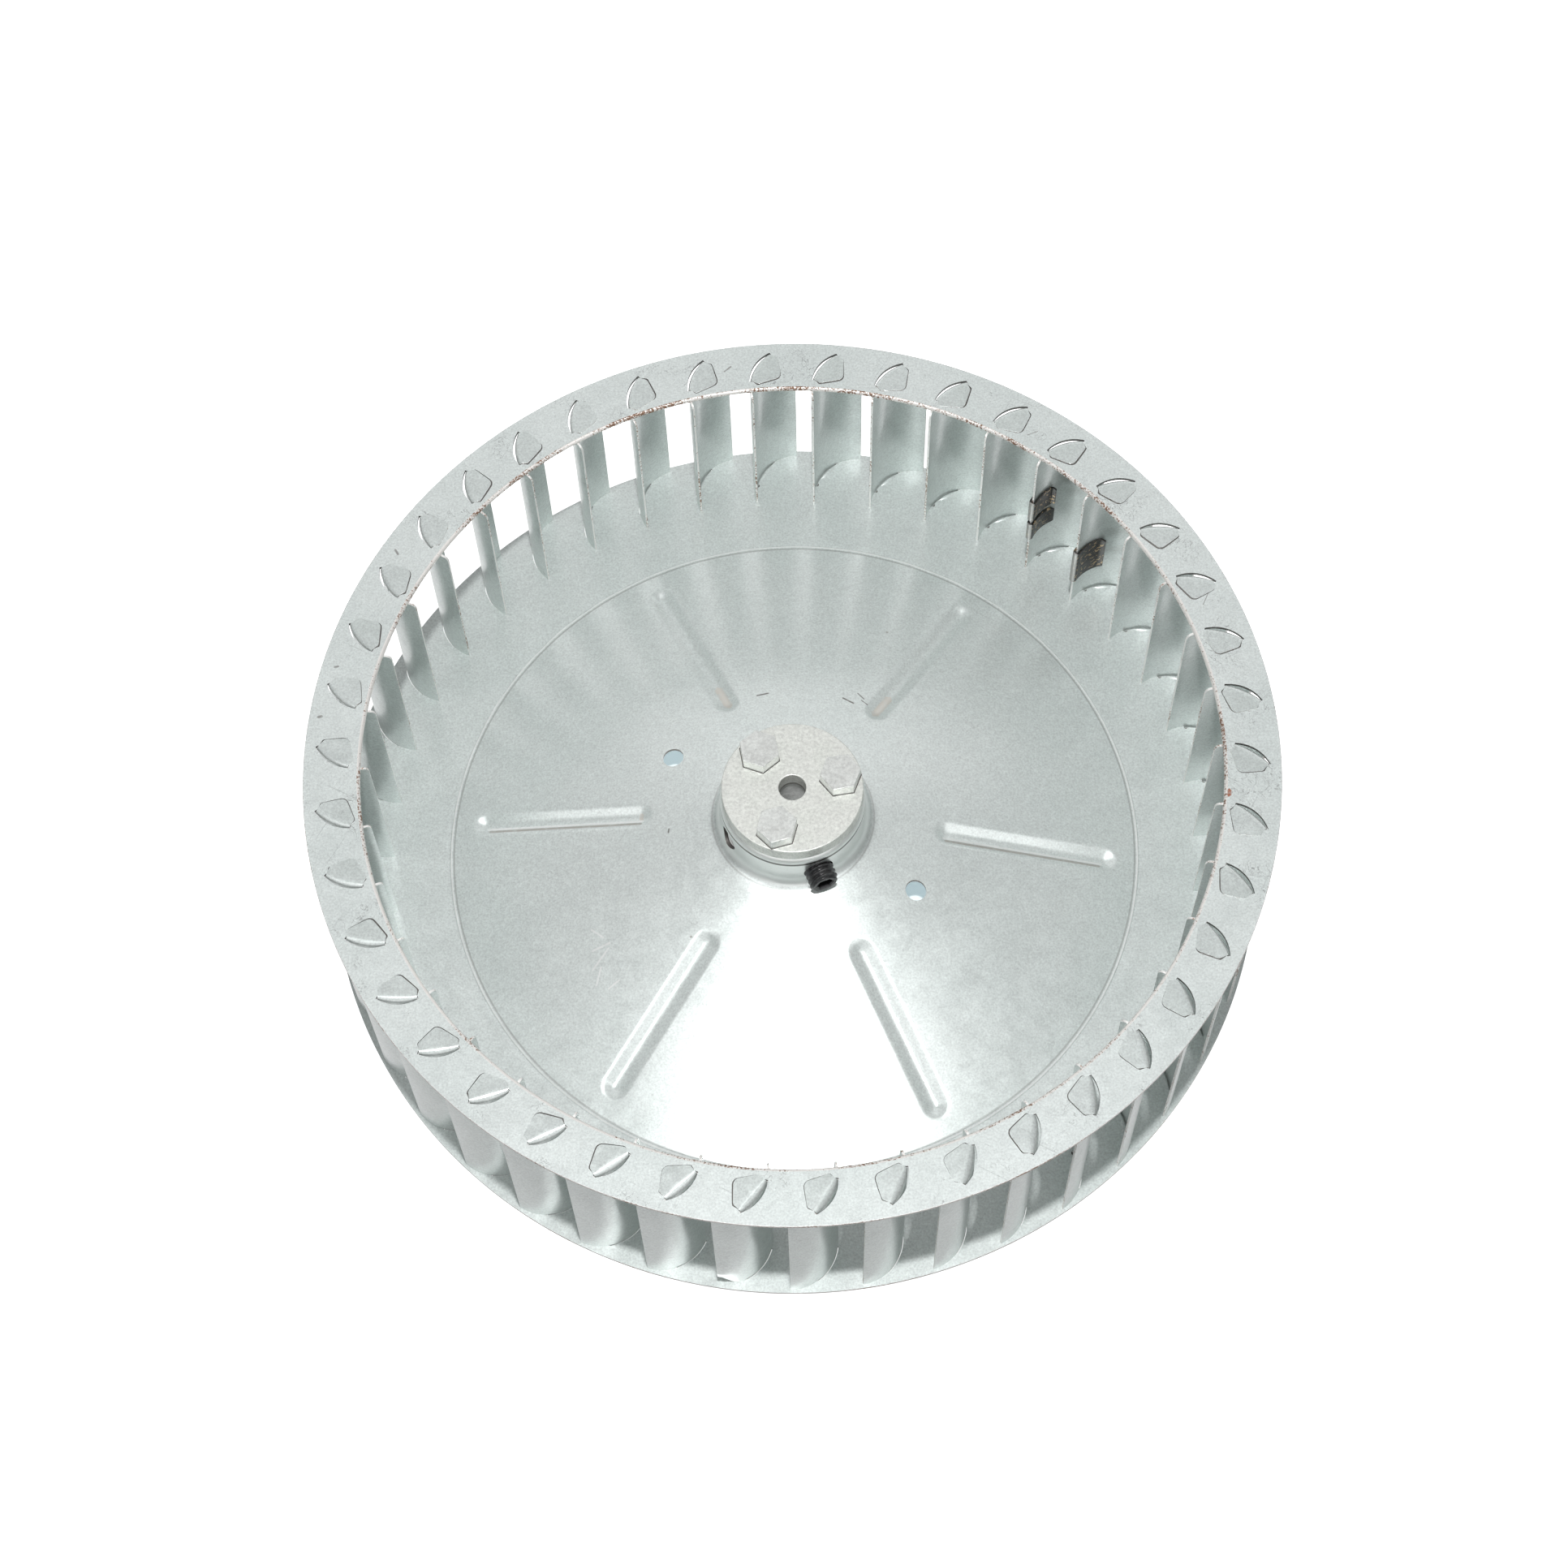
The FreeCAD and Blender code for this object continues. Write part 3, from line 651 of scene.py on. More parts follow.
def apply_modifiers(thing):
    """Turns the modified shape into the object's own mesh."""
    graph = bpy.context.evaluated_depsgraph_get()
    mesh = bpy.data.meshes.new_from_object(thing.evaluated_get(graph))
    thing.modifiers.clear()
    thing.data = mesh


def add_bevel(thing, width, segments, degrees):
    """Rounds the edges of a piece that are sharper than an angle."""
    add_modifier(thing, "BEVEL", width=width * MM, segments=segments, limit_method="ANGLE",
                 angle_limit=math.radians(degrees), harden_normals=True)


def join(shapes):
    """Points and faces of several shapes as one."""
    points, faces = [], []
    for shape_points, shape_faces in shapes:
        faces += [tuple(index + len(points) for index in face) for face in shape_faces]
        points += list(shape_points)
    return points, faces


def carve(thing, cutters, lining):
    """Cuts the joined cutters out of a closed mesh and lines the cuts with a material."""
    cutter = make_object(thing.name + "_cutter", *join(cutters), [lining])
    add_modifier(thing, "BOOLEAN", operation="DIFFERENCE", solver="MANIFOLD", object=cutter,
                 material_mode="TRANSFER")
    apply_modifiers(thing)
    bpy.data.objects.remove(cutter)
    thing.data.set_sharp_from_angle(angle=SHARP_CUT)


def prism(outline, low, high):
    """Closed upright prism of a plan outline: points and faces."""
    count = len(outline)
    points = [(x, y, low) for x, y in outline] + [(x, y, high) for x, y in outline]
    faces = [tuple(range(count - 1, -1, -1)), tuple(range(count, 2 * count))]
    for index in range(count):
        beside = (index + 1) % count
        faces.append((index, beside, count + beside, count + index))
    return points, faces


def lay_out(points, degrees, shift=0.0):
    """An upright shape laid along a radius at the set screw's height, its foot shifted outward."""
    plan = rotate_plan([(z + shift, x) for x, y, z in points], degrees)
    return [(*place, SCREW_HEIGHT + point[1]) for place, point in zip(plan, points)]


def arc(centre, radius, start, end, count):
    """Points of an arc in a plan or section."""
    return [
        (centre[0] + radius * math.cos(a), centre[1] + radius * math.sin(a))
        for a in radians(np.linspace(start, end, count))
    ]


def circle(radius, count, centre=(0.0, 0.0)):
    """Plan points of a circle."""
    return arc(centre, radius, 0.0, 360.0, count + 1)[:-1]


def arc_point(radius, degrees):
    """Plan point about the centre of the blade's arc, in the blade's own frame."""
    x, y = polar(radius, degrees)
    return ARC_CENTRE[0] + x, ARC_CENTRE[1] + y


def bolt_holes(low, high):
    """Cutters of the clamp bolts' holes."""
    return [prism(circle(BOLT_HOLE_RADIUS, 32, polar(BOLT_CIRCLE, angle)), low, high) for angle in BOLT_ANGLES]


def at_blades(outline, low, high):
    """Prisms of one outline at every blade."""
    return [prism(rotate_plan(outline, turn), low, high) for turn in BLADE_ANGLES]


SLOT_SIDE = 0.12
SLOT_GAPE = 0.4
SLOT_HOLLOW = 0.36
SLOT_END = 0.3
FOOT_PIT = 0.5
FOOT_PIT_DEPTH = 0.4
POCKET_SIDE = 0.2
POCKET_DEPTH = 0.5
THROUGH = 1.0                     # how far cutters stand past the sheet


def slot_cutters(low, high, widest=0.0, hollow=0.0):
    """The curved slots that the blades' tabs pass through, which may gape a little behind the fold."""
    extra = math.degrees(SLOT_END / ARC_RADIUS)
    angles = np.linspace(TAB_START + extra, TAB_END - extra, 17)
    half = BLADE_SHEET / 2.0 + SLOT_SIDE
    swell = np.sin(np.linspace(0.0, math.pi, len(angles)))
    outline = [arc_point(ARC_RADIUS + half + more, a) for a, more in zip(angles, widest * swell)]
    outline += [arc_point(ARC_RADIUS - half - more, a) for a, more in zip(angles[::-1], hollow * swell ** 0.5)]
    return at_blades(outline, low, high)


def foot_pits():
    """Small torn pits in the plate at the inner end of each blade's slot."""
    pit = circle(FOOT_PIT, 12, arc_point(ARC_RADIUS - BLADE_SHEET, TAB_START - 2.0))
    return at_blades(pit, PLATE_FRONT - FOOT_PIT_DEPTH, PLATE_FRONT + THROUGH)


def pocket_cutters(low, high):
    """Shallow pockets that the folded tabs are pressed into."""
    free_edge = tab_boundary(28)
    root = [arc_point(ARC_RADIUS - 0.2, a) for a in np.linspace(TAB_END, TAB_START, 13)]
    away = free_edge - np.mean(np.vstack([free_edge, root]), axis=0)
    away /= np.linalg.norm(away, axis=1, keepdims=True)
    return at_blades([tuple(p) for p in free_edge + away * POCKET_SIDE] + root, low, high)


def ride_and_name(thing, node, body=BODY):
    """Hangs a finished piece under its body's empty and hides the CAD part that it stands in for."""
    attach(thing, body)
    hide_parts(node)


# --- inlet ring ---

SUPPORT = 0.06
RING_STEPS = 720
RING_SOFT = 0.12


def revolve(section, count):
    """Points of a section swept about the spin axis, angle by angle."""
    angles = np.linspace(0.0, 2.0 * math.pi, count, endpoint=False)
    section = np.array(section)
    return np.stack([
        np.outer(np.cos(angles), section[:, 0]),
        np.outer(np.sin(angles), section[:, 0]),
        np.tile(section[:, 1], (count, 1)),
    ], axis=-1).reshape(-1, 3)


def make_ring():
    """Flat ring with a rolled inner edge, a slightly rounded outer edge and the tab slots."""
    soft, side = RING_SOFT, WHEEL_RADIUS - RING_SOFT
    profile = [(EYE_RADIUS + soft, RING_BACK), (side, RING_BACK)]
    profile += arc((side, RING_BACK + soft), soft, -90, 0, 3)[1:]
    outer_start = len(profile) - 1
    profile += arc((side, RING_FRONT - soft), soft, 0, 90, 4)
    outer_end = len(profile) - 1
    rolled = EYE_RADIUS + RING_EDGE_ROUND
    profile += [(radius, RING_FRONT) for radius in np.linspace(side - SUPPORT, rolled + SUPPORT, 12)]
    inner_start = len(profile)
    profile += arc((rolled, RING_FRONT - RING_EDGE_ROUND), RING_EDGE_ROUND, 90, 180, 8)
    profile += [(EYE_RADIUS, RING_BACK + soft)]
    kinds = [0] * outer_start + [1] * (outer_end - outer_start)
    kinds += [0] * (inner_start - outer_end) + [2] * (len(profile) - inner_start)
    faces = grid_faces(RING_STEPS, len(profile), True, True)
    materials = [ring_steel, outer_edge, inner_edge, shaded_cut_edge]
    ring = make_object("ring_skin", revolve(profile, RING_STEPS), faces, materials, kinds * RING_STEPS)
    # The slots and pockets are lined with painted shade.
    carve(ring, slot_cutters(RING_BACK - THROUGH, RING_FRONT + THROUGH, SLOT_GAPE), gap_shade)
    carve(ring, pocket_cutters(RING_FRONT - POCKET_DEPTH, RING_FRONT + THROUGH), gap_shade)
    ride_and_name(ring, "inlet_ring")


# --- back plate ---

CREASE_LIFT = 0.22
CREASE_OUT = (0.9, 0.5, 0.15)     # radii of the crease's outer rows, past the cone's; its inner rows mirror them
GROOVE_FLAT = 0.2
GROOVE_REACH = 3.9
GROOVE_SPAN = 6.2                 # degrees each side of a groove with closer columns
FINE_STEP = 0.45
COARSE_STEP = 1.3


def plate_section():
    """Front side of the plate's section from rim to centre hole: points and outward normals."""
    stretch = math.hypot(1.0, CONE_SLOPE)
    tilt = math.degrees(math.atan(CONE_SLOPE))
    fillet_x = NECK_RADIUS + NECK_FILLET
    fillet_z = PLATE_FRONT + CONE_SLOPE * (CONE_RADIUS - fillet_x) + NECK_FILLET * stretch
    corner = (NECK_RADIUS - NECK_CORNER, NECK_TOP - NECK_CORNER)
    up, cone_normal = (0.0, 1.0), (CONE_SLOPE / stretch, 1.0 / stretch)
    crease = ((up[0] + cone_normal[0]) / 2.0, (up[1] + cone_normal[1]) / 2.0)
    wide, middle, tight = CREASE_OUT
    rows = [(radius, PLATE_FRONT, up) for radius in np.linspace(WHEEL_RADIUS, CONE_RADIUS + wide, 14)]
    rows.append((CONE_RADIUS + middle, PLATE_FRONT, up))
    rows += [(CONE_RADIUS + side, PLATE_FRONT + CREASE_LIFT, crease) for side in (tight, -tight)]
    steps = [CONE_RADIUS - middle, CONE_RADIUS - wide]
    steps += list(np.arange(CONE_RADIUS - 2.0, RIB_OUTER + 1.6, -1.0))
    steps += list(np.arange(RIB_OUTER + 1.5, RIB_OUTER - 6.0, -FINE_STEP))
    steps += list(np.arange(RIB_OUTER - 6.5, RIB_INNER + 5.0, -COARSE_STEP))
    steps += list(np.arange(RIB_INNER + 4.8, RIB_INNER - 1.6, -FINE_STEP))
    steps += list(np.linspace(RIB_INNER - 2.4, fillet_x - NECK_FILLET * CONE_SLOPE / stretch, 12))
    rows += [(r, PLATE_FRONT + CONE_SLOPE * (CONE_RADIUS - r), cone_normal) for r in steps]
    for x, z in arc((0.0, 0.0), 1.0, 270.0 - tilt, 180.0, 10)[1:]:
        rows.append((fillet_x + NECK_FILLET * x, fillet_z + NECK_FILLET * z, (-x, -z)))
    rows += [(NECK_RADIUS, z, (1.0, 0.0)) for z in np.linspace(rows[-1][1], corner[1], 6)[1:]]
    for x, z in arc((0.0, 0.0), 1.0, 0.0, 90.0, 7)[1:]:
        rows.append((corner[0] + NECK_CORNER * x, corner[1] + NECK_CORNER * z, (x, z)))
    rows += [(radius, NECK_TOP, up) for radius in np.linspace(corner[0], CENTRE_HOLE_RADIUS, 5)[1:]]
    place = np.array([row[:2] for row in rows])
    normal = np.array([row[2] for row in rows])
    return place, normal / np.linalg.norm(normal, axis=1, keepdims=True)


def plate_columns():
    """Angles around the plate, closer together across the grooves."""
    period = 360.0 / RIB_COUNT
    near = np.arange(-GROOVE_SPAN, GROOVE_SPAN + 0.01, GROOVE_SPAN / 20.0)
    far = np.linspace(GROOVE_SPAN, period - GROOVE_SPAN, 46)[1:-1]
    one = np.concatenate([near, far])
    return np.concatenate([one + RIB_PHASE + index * period for index in range(RIB_COUNT)])


def groove_depth(radius, degrees):
    """Depth of the stamped grooves at points of the cone."""
    period = 360.0 / RIB_COUNT
    offset = np.radians((degrees - RIB_PHASE + period / 2.0) % period - period / 2.0)
    along = radius * np.cos(offset)
    past = np.maximum(RIB_INNER + RIB_HALF_WIDTH - along, along - RIB_OUTER + RIB_HALF_WIDTH)
    distance = np.hypot(radius * np.sin(offset), np.maximum(past, 0.0))
    share = np.clip((GROOVE_REACH - distance) / (GROOVE_REACH - GROOVE_FLAT), 0.0, 1.0)
    return RIB_DEPTH * share * share * (3.0 - 2.0 * share)


def side_hole(degrees, radius):
    """Cutter of a hole through the side of the neck."""
    points, faces = prism(circle(radius, 40), NECK_RADIUS - NECK_CORNER + 0.3, NECK_RADIUS + NECK_FILLET * 2.0)
    return lay_out(points, degrees), faces


def make_plate():
    """Dished plate with pressed grooves, drawn neck, slots and holes."""
    place, normal = plate_section()
    degrees = plate_columns()
    angles = np.radians(degrees)[:, None]
    on_cone = (place[:, 0] < CONE_RADIUS) & (place[:, 0] > NECK_RADIUS + NECK_FILLET)
    depth = groove_depth(place[None, :, 0], degrees[:, None]) * on_cone[None, :]
    sides = []
    for offset in (0.0, SHEET):
        radius = place[None, :, 0] - normal[None, :, 0] * (depth + offset)
        height = place[None, :, 1] - normal[None, :, 1] * (depth + offset)
        radius[:, -1] = CENTRE_HOLE_RADIUS
        radius[:, 0] = WHEEL_RADIUS
        sides.append(np.stack([radius * np.cos(angles), radius * np.sin(angles), height], axis=-1))
    loop = np.concatenate([sides[0], sides[1][:, ::-1]], axis=1)
    count = loop.shape[1]
    kinds = [0] * count
    # The centre hole's wall takes the cut edge darkened as painted shade.
    kinds[len(place) - 1] = 2
    kinds[count - 1] = 1
    faces = grid_faces(len(angles), count, True, True)
    materials = [plate_steel, outer_edge, shaded_cut_edge]
    plate = make_object("plate_skin", loop.reshape(-1, 3), faces, materials, kinds * len(angles))
    holes = [
        prism(circle(PLATE_HOLE_RADIUS, 40, polar(PLATE_HOLE_CIRCLE, angle)), PLATE_FRONT, NECK_TOP - 2.0)
        for angle in PLATE_HOLE_ANGLES
    ]
    slots = slot_cutters(PLATE_BACK - THROUGH, PLATE_FRONT + THROUGH, 0.0, SLOT_HOLLOW)
    side_holes = [side_hole(SCREW_ANGLE, SCREW_RADIUS + 0.1), side_hole(SPARE_HOLE_ANGLE, SPARE_HOLE_RADIUS)]
    # Round holes and bolt holes are lined with the cut edge darkened as painted shade.
    carve(plate, holes + bolt_holes(NECK_TOP - SHEET - 0.5, NECK_TOP + 0.5), shaded_cut_edge)
    # The slots, side holes, foot pits and pockets are lined with painted shade.
    carve(plate, slots + side_holes, gap_shade)
    carve(plate, foot_pits(), gap_shade)
    carve(plate, pocket_cutters(PLATE_BACK - THROUGH, PLATE_BACK + POCKET_DEPTH), gap_shade)
    ride_and_name(plate, "back_plate")


# --- blades ---

BEND_TIGHT = 0.6
BEND_WIDE = 1.3
BEND_SWING = 0.6
BEND_SIDE = math.radians(-15.0)
BEND_FOOT = 0.7
TAB_SINK = 0.4
TAB_STRAY = 0.25                  # how far a tab's outline strays
TAB_LEAN = 0.06                   # most that a tab's tip is pressed below flat
FOOT_GAP = 0.02                   # between the plate and a blade's lower edge
BENT_BLADE = 31
BENT_SHIFT = np.array([-1.7, 0.0, 1.7])
BENT_ROWS = (1.0, 0.3, 0.08)
BENT_COLUMNS = 6


def tab_boundary(count):
    """Points of the tab's free edge, from the slot's inner end round to its outer end."""
    corners = [(x, y) for x, y, radius in TAB_OUTLINE][::-1]
    radii = [radius for x, y, radius in TAB_OUTLINE][::-1]
    path = [arc_point(ARC_RADIUS, TAB_START)] + corners + [arc_point(ARC_RADIUS, TAB_END)]
    dense = []
    for index, radius in enumerate(radii, start=1):
        corner = Vector(path[index])
        back = (Vector(path[index - 1]) - corner).normalized()
        ahead = (Vector(path[index + 1]) - corner).normalized()
        half = back.angle(ahead) / 2.0
        reach = radius / math.tan(half)
        centre = corner + (back + ahead).normalized() * (radius / math.sin(half))
        first = corner + back * reach - centre
        last = corner + ahead * reach - centre
        dense += [centre + first.lerp(last, share).normalized() * radius for share in np.linspace(0.0, 1.0, 9)]
    # The edge starts and ends halfway round its outer corners, where it meets the slot.
    dense = dense[4:-4]
    lengths = np.cumsum([0.0] + [(dense[i + 1] - dense[i]).length for i in range(len(dense) - 1)])
    wanted = np.linspace(0.0, lengths[-1], count)
    return np.stack([np.interp(wanted, lengths, [p[axis] for p in dense]) for axis in (0, 1)], axis=-1)


def blade_columns():
    """Angles on the blade's arc, closer together at the rounded inner edge."""
    rounded = math.degrees(CORNER_ROUND / ARC_RADIUS)
    outer = np.linspace(ARC_OUTER_EDGE, TAB_END, 9)
    middle = np.linspace(TAB_END, TAB_START, 21)
    inner = np.linspace(TAB_START, ARC_INNER_EDGE - rounded, 5)
    tip = ARC_INNER_EDGE - rounded * np.cos(np.linspace(0.0, math.pi / 2.0, 8))
    return outer[:-1], middle, inner[1:], tip[1:]


def blade_patches(jitter, wide):
    """Middle surface of one blade in its own frame, as grids of points that share their borders."""
    outer, middle, inner, tip = blade_columns()
    columns = np.concatenate([outer, middle, inner, tip])
    plan = np.array([arc_point(ARC_RADIUS, a) for a in columns])
    from_edge = np.radians(ARC_INNER_EDGE - columns) * ARC_RADIUS
    inside = np.clip(CORNER_ROUND - from_edge, 0.0, CORNER_ROUND)
    drop = CORNER_ROUND - np.sqrt(np.maximum(CORNER_ROUND ** 2 - inside ** 2, 0.0))
    low = PLATE_FRONT + FOOT_GAP
    shares = np.linspace(0.0, 1.0, 13)
    patches = [np.array([np.column_stack([plan, low + share * (RING_BACK - drop - low)]) for share in shares])]
    start = len(outer)
    root = plan[start:start + len(middle)]
    edge = tab_boundary(len(middle))[::-1]
    edge = edge + np.array([jitter.uniform(-TAB_STRAY, TAB_STRAY), jitter.uniform(-TAB_STRAY, TAB_STRAY)])
    reach = np.linalg.norm(edge - root, axis=1)
    inward = (edge - root) / reach[:, None]
    lean = jitter.uniform(0.0, TAB_LEAN)
    bend = BEND_TIGHT + (wide - BEND_TIGHT) * np.sin(np.linspace(0.0, math.pi, len(root)))
    bend = np.minimum(bend, 0.8 * reach)
    for sign, near, far in ((1.0, RING_BACK, WHEEL_TOP), (-1.0, low, 0.0)):
        flat = far - sign * (BLADE_SHEET / 2.0 + TAB_SINK)
        curve = bend if sign > 0.0 else np.minimum(bend, BEND_FOOT)
        steps = [(0.0 * curve, near + 0.0 * curve), (0.0 * curve, flat - sign * curve)]
        for turn in np.linspace(0.0, math.pi / 2.0, 7)[1:]:
            steps.append((curve * (1.0 - math.cos(turn)), flat - sign * curve * (1.0 - math.sin(turn))))
        for share in np.linspace(0.0, 1.0, 8)[1:]:
            steps.append((curve + share * (reach - curve), flat - sign * lean * share + 0.0 * curve))
        patches.append(np.array([np.column_stack([root + inward * step[:, None], z]) for step, z in steps]))
    return patches


def bend_corner(body):
    """Turns up the outer foot of a blade's body."""
    for row, share in enumerate(BENT_ROWS):
        for column in range(BENT_COLUMNS):
            body[row, column] += BENT_SHIFT * share * (1.0 - column / BENT_COLUMNS)


def make_blade(index, degrees):
    """Curved blade with both tabs folded over, its cut edges left bare."""
    jitter = random.Random(100 + index)
    wide = BEND_WIDE - BEND_SWING * math.sin(math.radians(degrees) + BEND_SIDE)
    patches = blade_patches(jitter, wide)
    if index == BENT_BLADE:
        bend_corner(patches[0])
    shapes = []
    for patch in patches:
        flat = patch.reshape(-1, 3)
        points = np.column_stack([rotate_plan(flat[:, :2], degrees), flat[:, 2]]).tolist()
        shapes.append((points, grid_faces(*patch.shape[:2], False, False)))
    steel = greasy_blade if index in (PAIR_BLADE, SINGLE_BLADE) else blade_steel
    number = "%02d" % (index + 1)
    blade = make_object("blade_skin_" + number, *join(shapes), [steel, blade_edge], weld=0.01)
    add_modifier(blade, "SOLIDIFY", thickness=BLADE_SHEET * MM, offset=0.0, material_offset_rim=1)
    add_bevel(blade, BLADE_SOFT, 2, 50.0)
    ride_and_name(blade, "blade_" + number)


BEAD_SPAN = (64.0, 36.0)
BEAD_WIDTH = 1.1
BEAD_HEIGHTS = (0.12, 0.34)
BEAD_PROUD = range(3, 11)
BEAD_ROOT = 0.2


def make_beads():
    """Small bulges that the blades' slots push up in the back plate, on the hollow side of each blade."""
    shapes = []
    share = np.linspace(0.0, 1.0, 15)
    angles = BEAD_SPAN[0] + (BEAD_SPAN[1] - BEAD_SPAN[0]) * share
    swell = np.sin(math.pi * share) ** 0.7
    start = ARC_RADIUS - BLADE_SHEET / 2.0 - SLOT_SIDE - SLOT_HOLLOW - 0.05
    for index, turn in enumerate(BLADE_ANGLES):
        tall = BEAD_HEIGHTS[index in BEAD_PROUD]
        rows = []
        for step in np.linspace(0.0, 1.0, 7):
            radius = start - BEAD_WIDTH * swell * step
            plan = rotate_plan([arc_point(r, a) for r, a in zip(radius, angles)], turn)
            lift = tall * swell * math.sin(math.pi * min(1.0, 0.25 + 0.75 * step))
            rows.append(np.column_stack([plan, PLATE_FRONT + lift]))
        top = np.array(rows)
        bottom = top.copy()
        bottom[:, :, 2] = PLATE_FRONT - BEAD_ROOT
        loop = np.concatenate([top, bottom[::-1]], axis=0)
        count, columns = loop.shape[:2]
        faces = grid_faces(count, columns, True, False)
        for column in (0, columns - 1):
            cap = [row * columns + column for row in range(count)]
            faces.append(tuple(cap if column else cap[::-1]))
        shapes.append((loop.reshape(-1, 3).tolist(), faces))
    beads = make_object("slot_beads", *join(shapes), [plate_steel])
    beads.data.set_sharp_from_angle(angle=math.radians(50.0))
    ride_and_name(beads, "back_plate")


# --- hub fasteners ---

DISC_STEPS = 180
DISC_SOFT = 0.3
HEAD_MARGIN = 0.24                # of the pocket that each bolt head is pressed into
HEAD_SINK = 0.25
BOLT_SHANK = 3.17
BOLT_SOFT = 0.16


def make_disc():
    """Clamp disc with its centre hole and softened rims."""
    edge, soft, hole = disc_high.x, DISC_SOFT, CENTRE_HOLE_RADIUS
    profile = [(edge - soft, disc_low.z)]
    profile += arc((edge - soft, disc_low.z + soft), soft, -90, 0, 5)[1:]
    profile += [(edge, disc_low.z + soft + SUPPORT), (edge, DISC_TOP - soft - SUPPORT)]
    profile += arc((edge - soft, DISC_TOP - soft), soft, 0, 90, 5)
    profile += [(edge - soft - SUPPORT, DISC_TOP), (hole + soft + SUPPORT, DISC_TOP)]
    profile += arc((hole + soft, DISC_TOP - soft), soft, 90, 180, 5)
    profile += [(hole, DISC_TOP - soft - SUPPORT), (hole, disc_low.z)]
    faces = grid_faces(DISC_STEPS, len(profile), True, True)
    disc = make_object("disc_skin", revolve(profile, DISC_STEPS), faces, [disc_zinc])
    # The bolt holes are lined with the cut edge darkened as painted shade.
    carve(disc, bolt_holes(disc_low.z - THROUGH, DISC_TOP + THROUGH), shaded_cut_edge)
    outlines = [hexagon(angle, turn, HEAD_MARGIN) for angle, turn in zip(BOLT_ANGLES, BOLT_TURNS)]
    # The head pockets are lined with painted shade.
    carve(disc, [prism(outline, DISC_TOP - HEAD_SINK, DISC_TOP + THROUGH) for outline in outlines], gap_shade)
    ride_and_name(disc, "hub_clamp_disc")


def hexagon(angle, turn, margin=0.0):
    """Plan of a bolt head."""
    corner = BOLT_HEAD_FLATS / math.sqrt(3.0) + margin
    return arc(polar(BOLT_CIRCLE, angle), corner, turn, turn + 300.0, 6)


def make_bolts():
    """Three clamp bolts with plain hexagonal heads."""
    shapes = []
    for angle, turn in zip(BOLT_ANGLES, BOLT_TURNS):
        shank = circle(BOLT_SHANK, 32, polar(BOLT_CIRCLE, angle))
        shapes.append(prism(hexagon(angle, turn), DISC_TOP - HEAD_SINK, bolt_high.z))
        shapes.append(prism(shank, bolt_low.z, DISC_TOP - HEAD_SINK))
    bolts = make_object("bolt_skins", *join(shapes), [bolt_zinc])
    add_bevel(bolts, BOLT_SOFT, 3, 25.0)
    apply_modifiers(bolts)
    ride_and_name(bolts, "hub_bolts")


SCREW_AROUND = 48
SCREW_CHAMFER = 0.75
THREAD_DEPTH = 0.7
THREAD_FLAT = 0.12                # share of the pitch that is flat root
THREAD_FLANKS = 0.76
# Cup point, radius and height, from its middle outward; socket, size and depth, from the face inward
SCREW_POINT = ((0.3, 1.3), (1.2, 0.8), (2.2, 0.05), (2.9, 0.0))
SCREW_SOCKET = ((1.16, 0.0), (1.0, 0.35), (1.0, SCREW_SOCKET_DEPTH), (0.25, SCREW_SOCKET_DEPTH + 0.6))


def make_screw():
    """Set screw with a real thread, a hexagon socket outside and a cup point inside."""
    turns = np.arange(SCREW_AROUND) / SCREW_AROUND
    angles = 2.0 * math.pi * turns
    grid = [(np.full(SCREW_AROUND, radius), height) for radius, height in SCREW_POINT]
    for along in np.arange(0.0, SCREW_LENGTH + 0.01, SCREW_PITCH / 12.0):
        phase = (along / SCREW_PITCH - turns) % 1.0
        crest = np.clip((np.abs(phase - 0.5) * 2.0 - THREAD_FLAT) / THREAD_FLANKS, 0.0, 1.0)
        limit = SCREW_RADIUS - SCREW_CHAMFER + min(along, SCREW_LENGTH - along, SCREW_CHAMFER)
        grid.append((np.minimum(SCREW_RADIUS - THREAD_DEPTH * (1.0 - crest), limit), along))
    sector = (angles + math.pi / 6.0) % (math.pi / 3.0) - math.pi / 6.0
    socket = SCREW_SOCKET_FLATS / 2.0 / np.cos(np.abs(np.abs(sector) - math.pi / 6.0))
    grid += [(socket * scale, SCREW_LENGTH - depth) for scale, depth in SCREW_SOCKET]
    points = np.concatenate([
        np.column_stack([radius * np.cos(angles), radius * np.sin(angles), np.full(SCREW_AROUND, height)])
        for radius, height in grid
    ])
    faces = grid_faces(len(grid), SCREW_AROUND, False, True)
    faces.append(tuple(range(SCREW_AROUND)))
    faces.append(tuple(range(len(points) - SCREW_AROUND, len(points))))
    laid = lay_out(points, SCREW_ANGLE, SCREW_OUTER_END - SCREW_LENGTH)
    screw = make_object("screw_skin", laid, faces, [oxide])
    screw.data.set_sharp_from_angle(angle=math.radians(40.0))
    ride_and_name(screw, "set_screw", body="set_screw")


# Balance clips: blade, low end, height, end of the outer arm, end of the inner arm, flare, curl
CLIPS = (
    (PAIR_BLADE, 28.7, 9.0, 62.0, 74.0, 0.0, 0.9),
    (PAIR_BLADE, 18.6, 7.8, 60.0, 74.0, 0.3, 0.0),
    (SINGLE_BLADE, 13.6, 15.3, 56.0, 66.0, 0.6, 0.0),
)
CLIP_SHEET = 0.5
CLIP_GAP = 0.2
CLIP_CORNER = 0.9
CLIP_SOFT = 0.1
FLARE_SPAN = 7.0                  # degrees of the arm's end that stand away from the blade


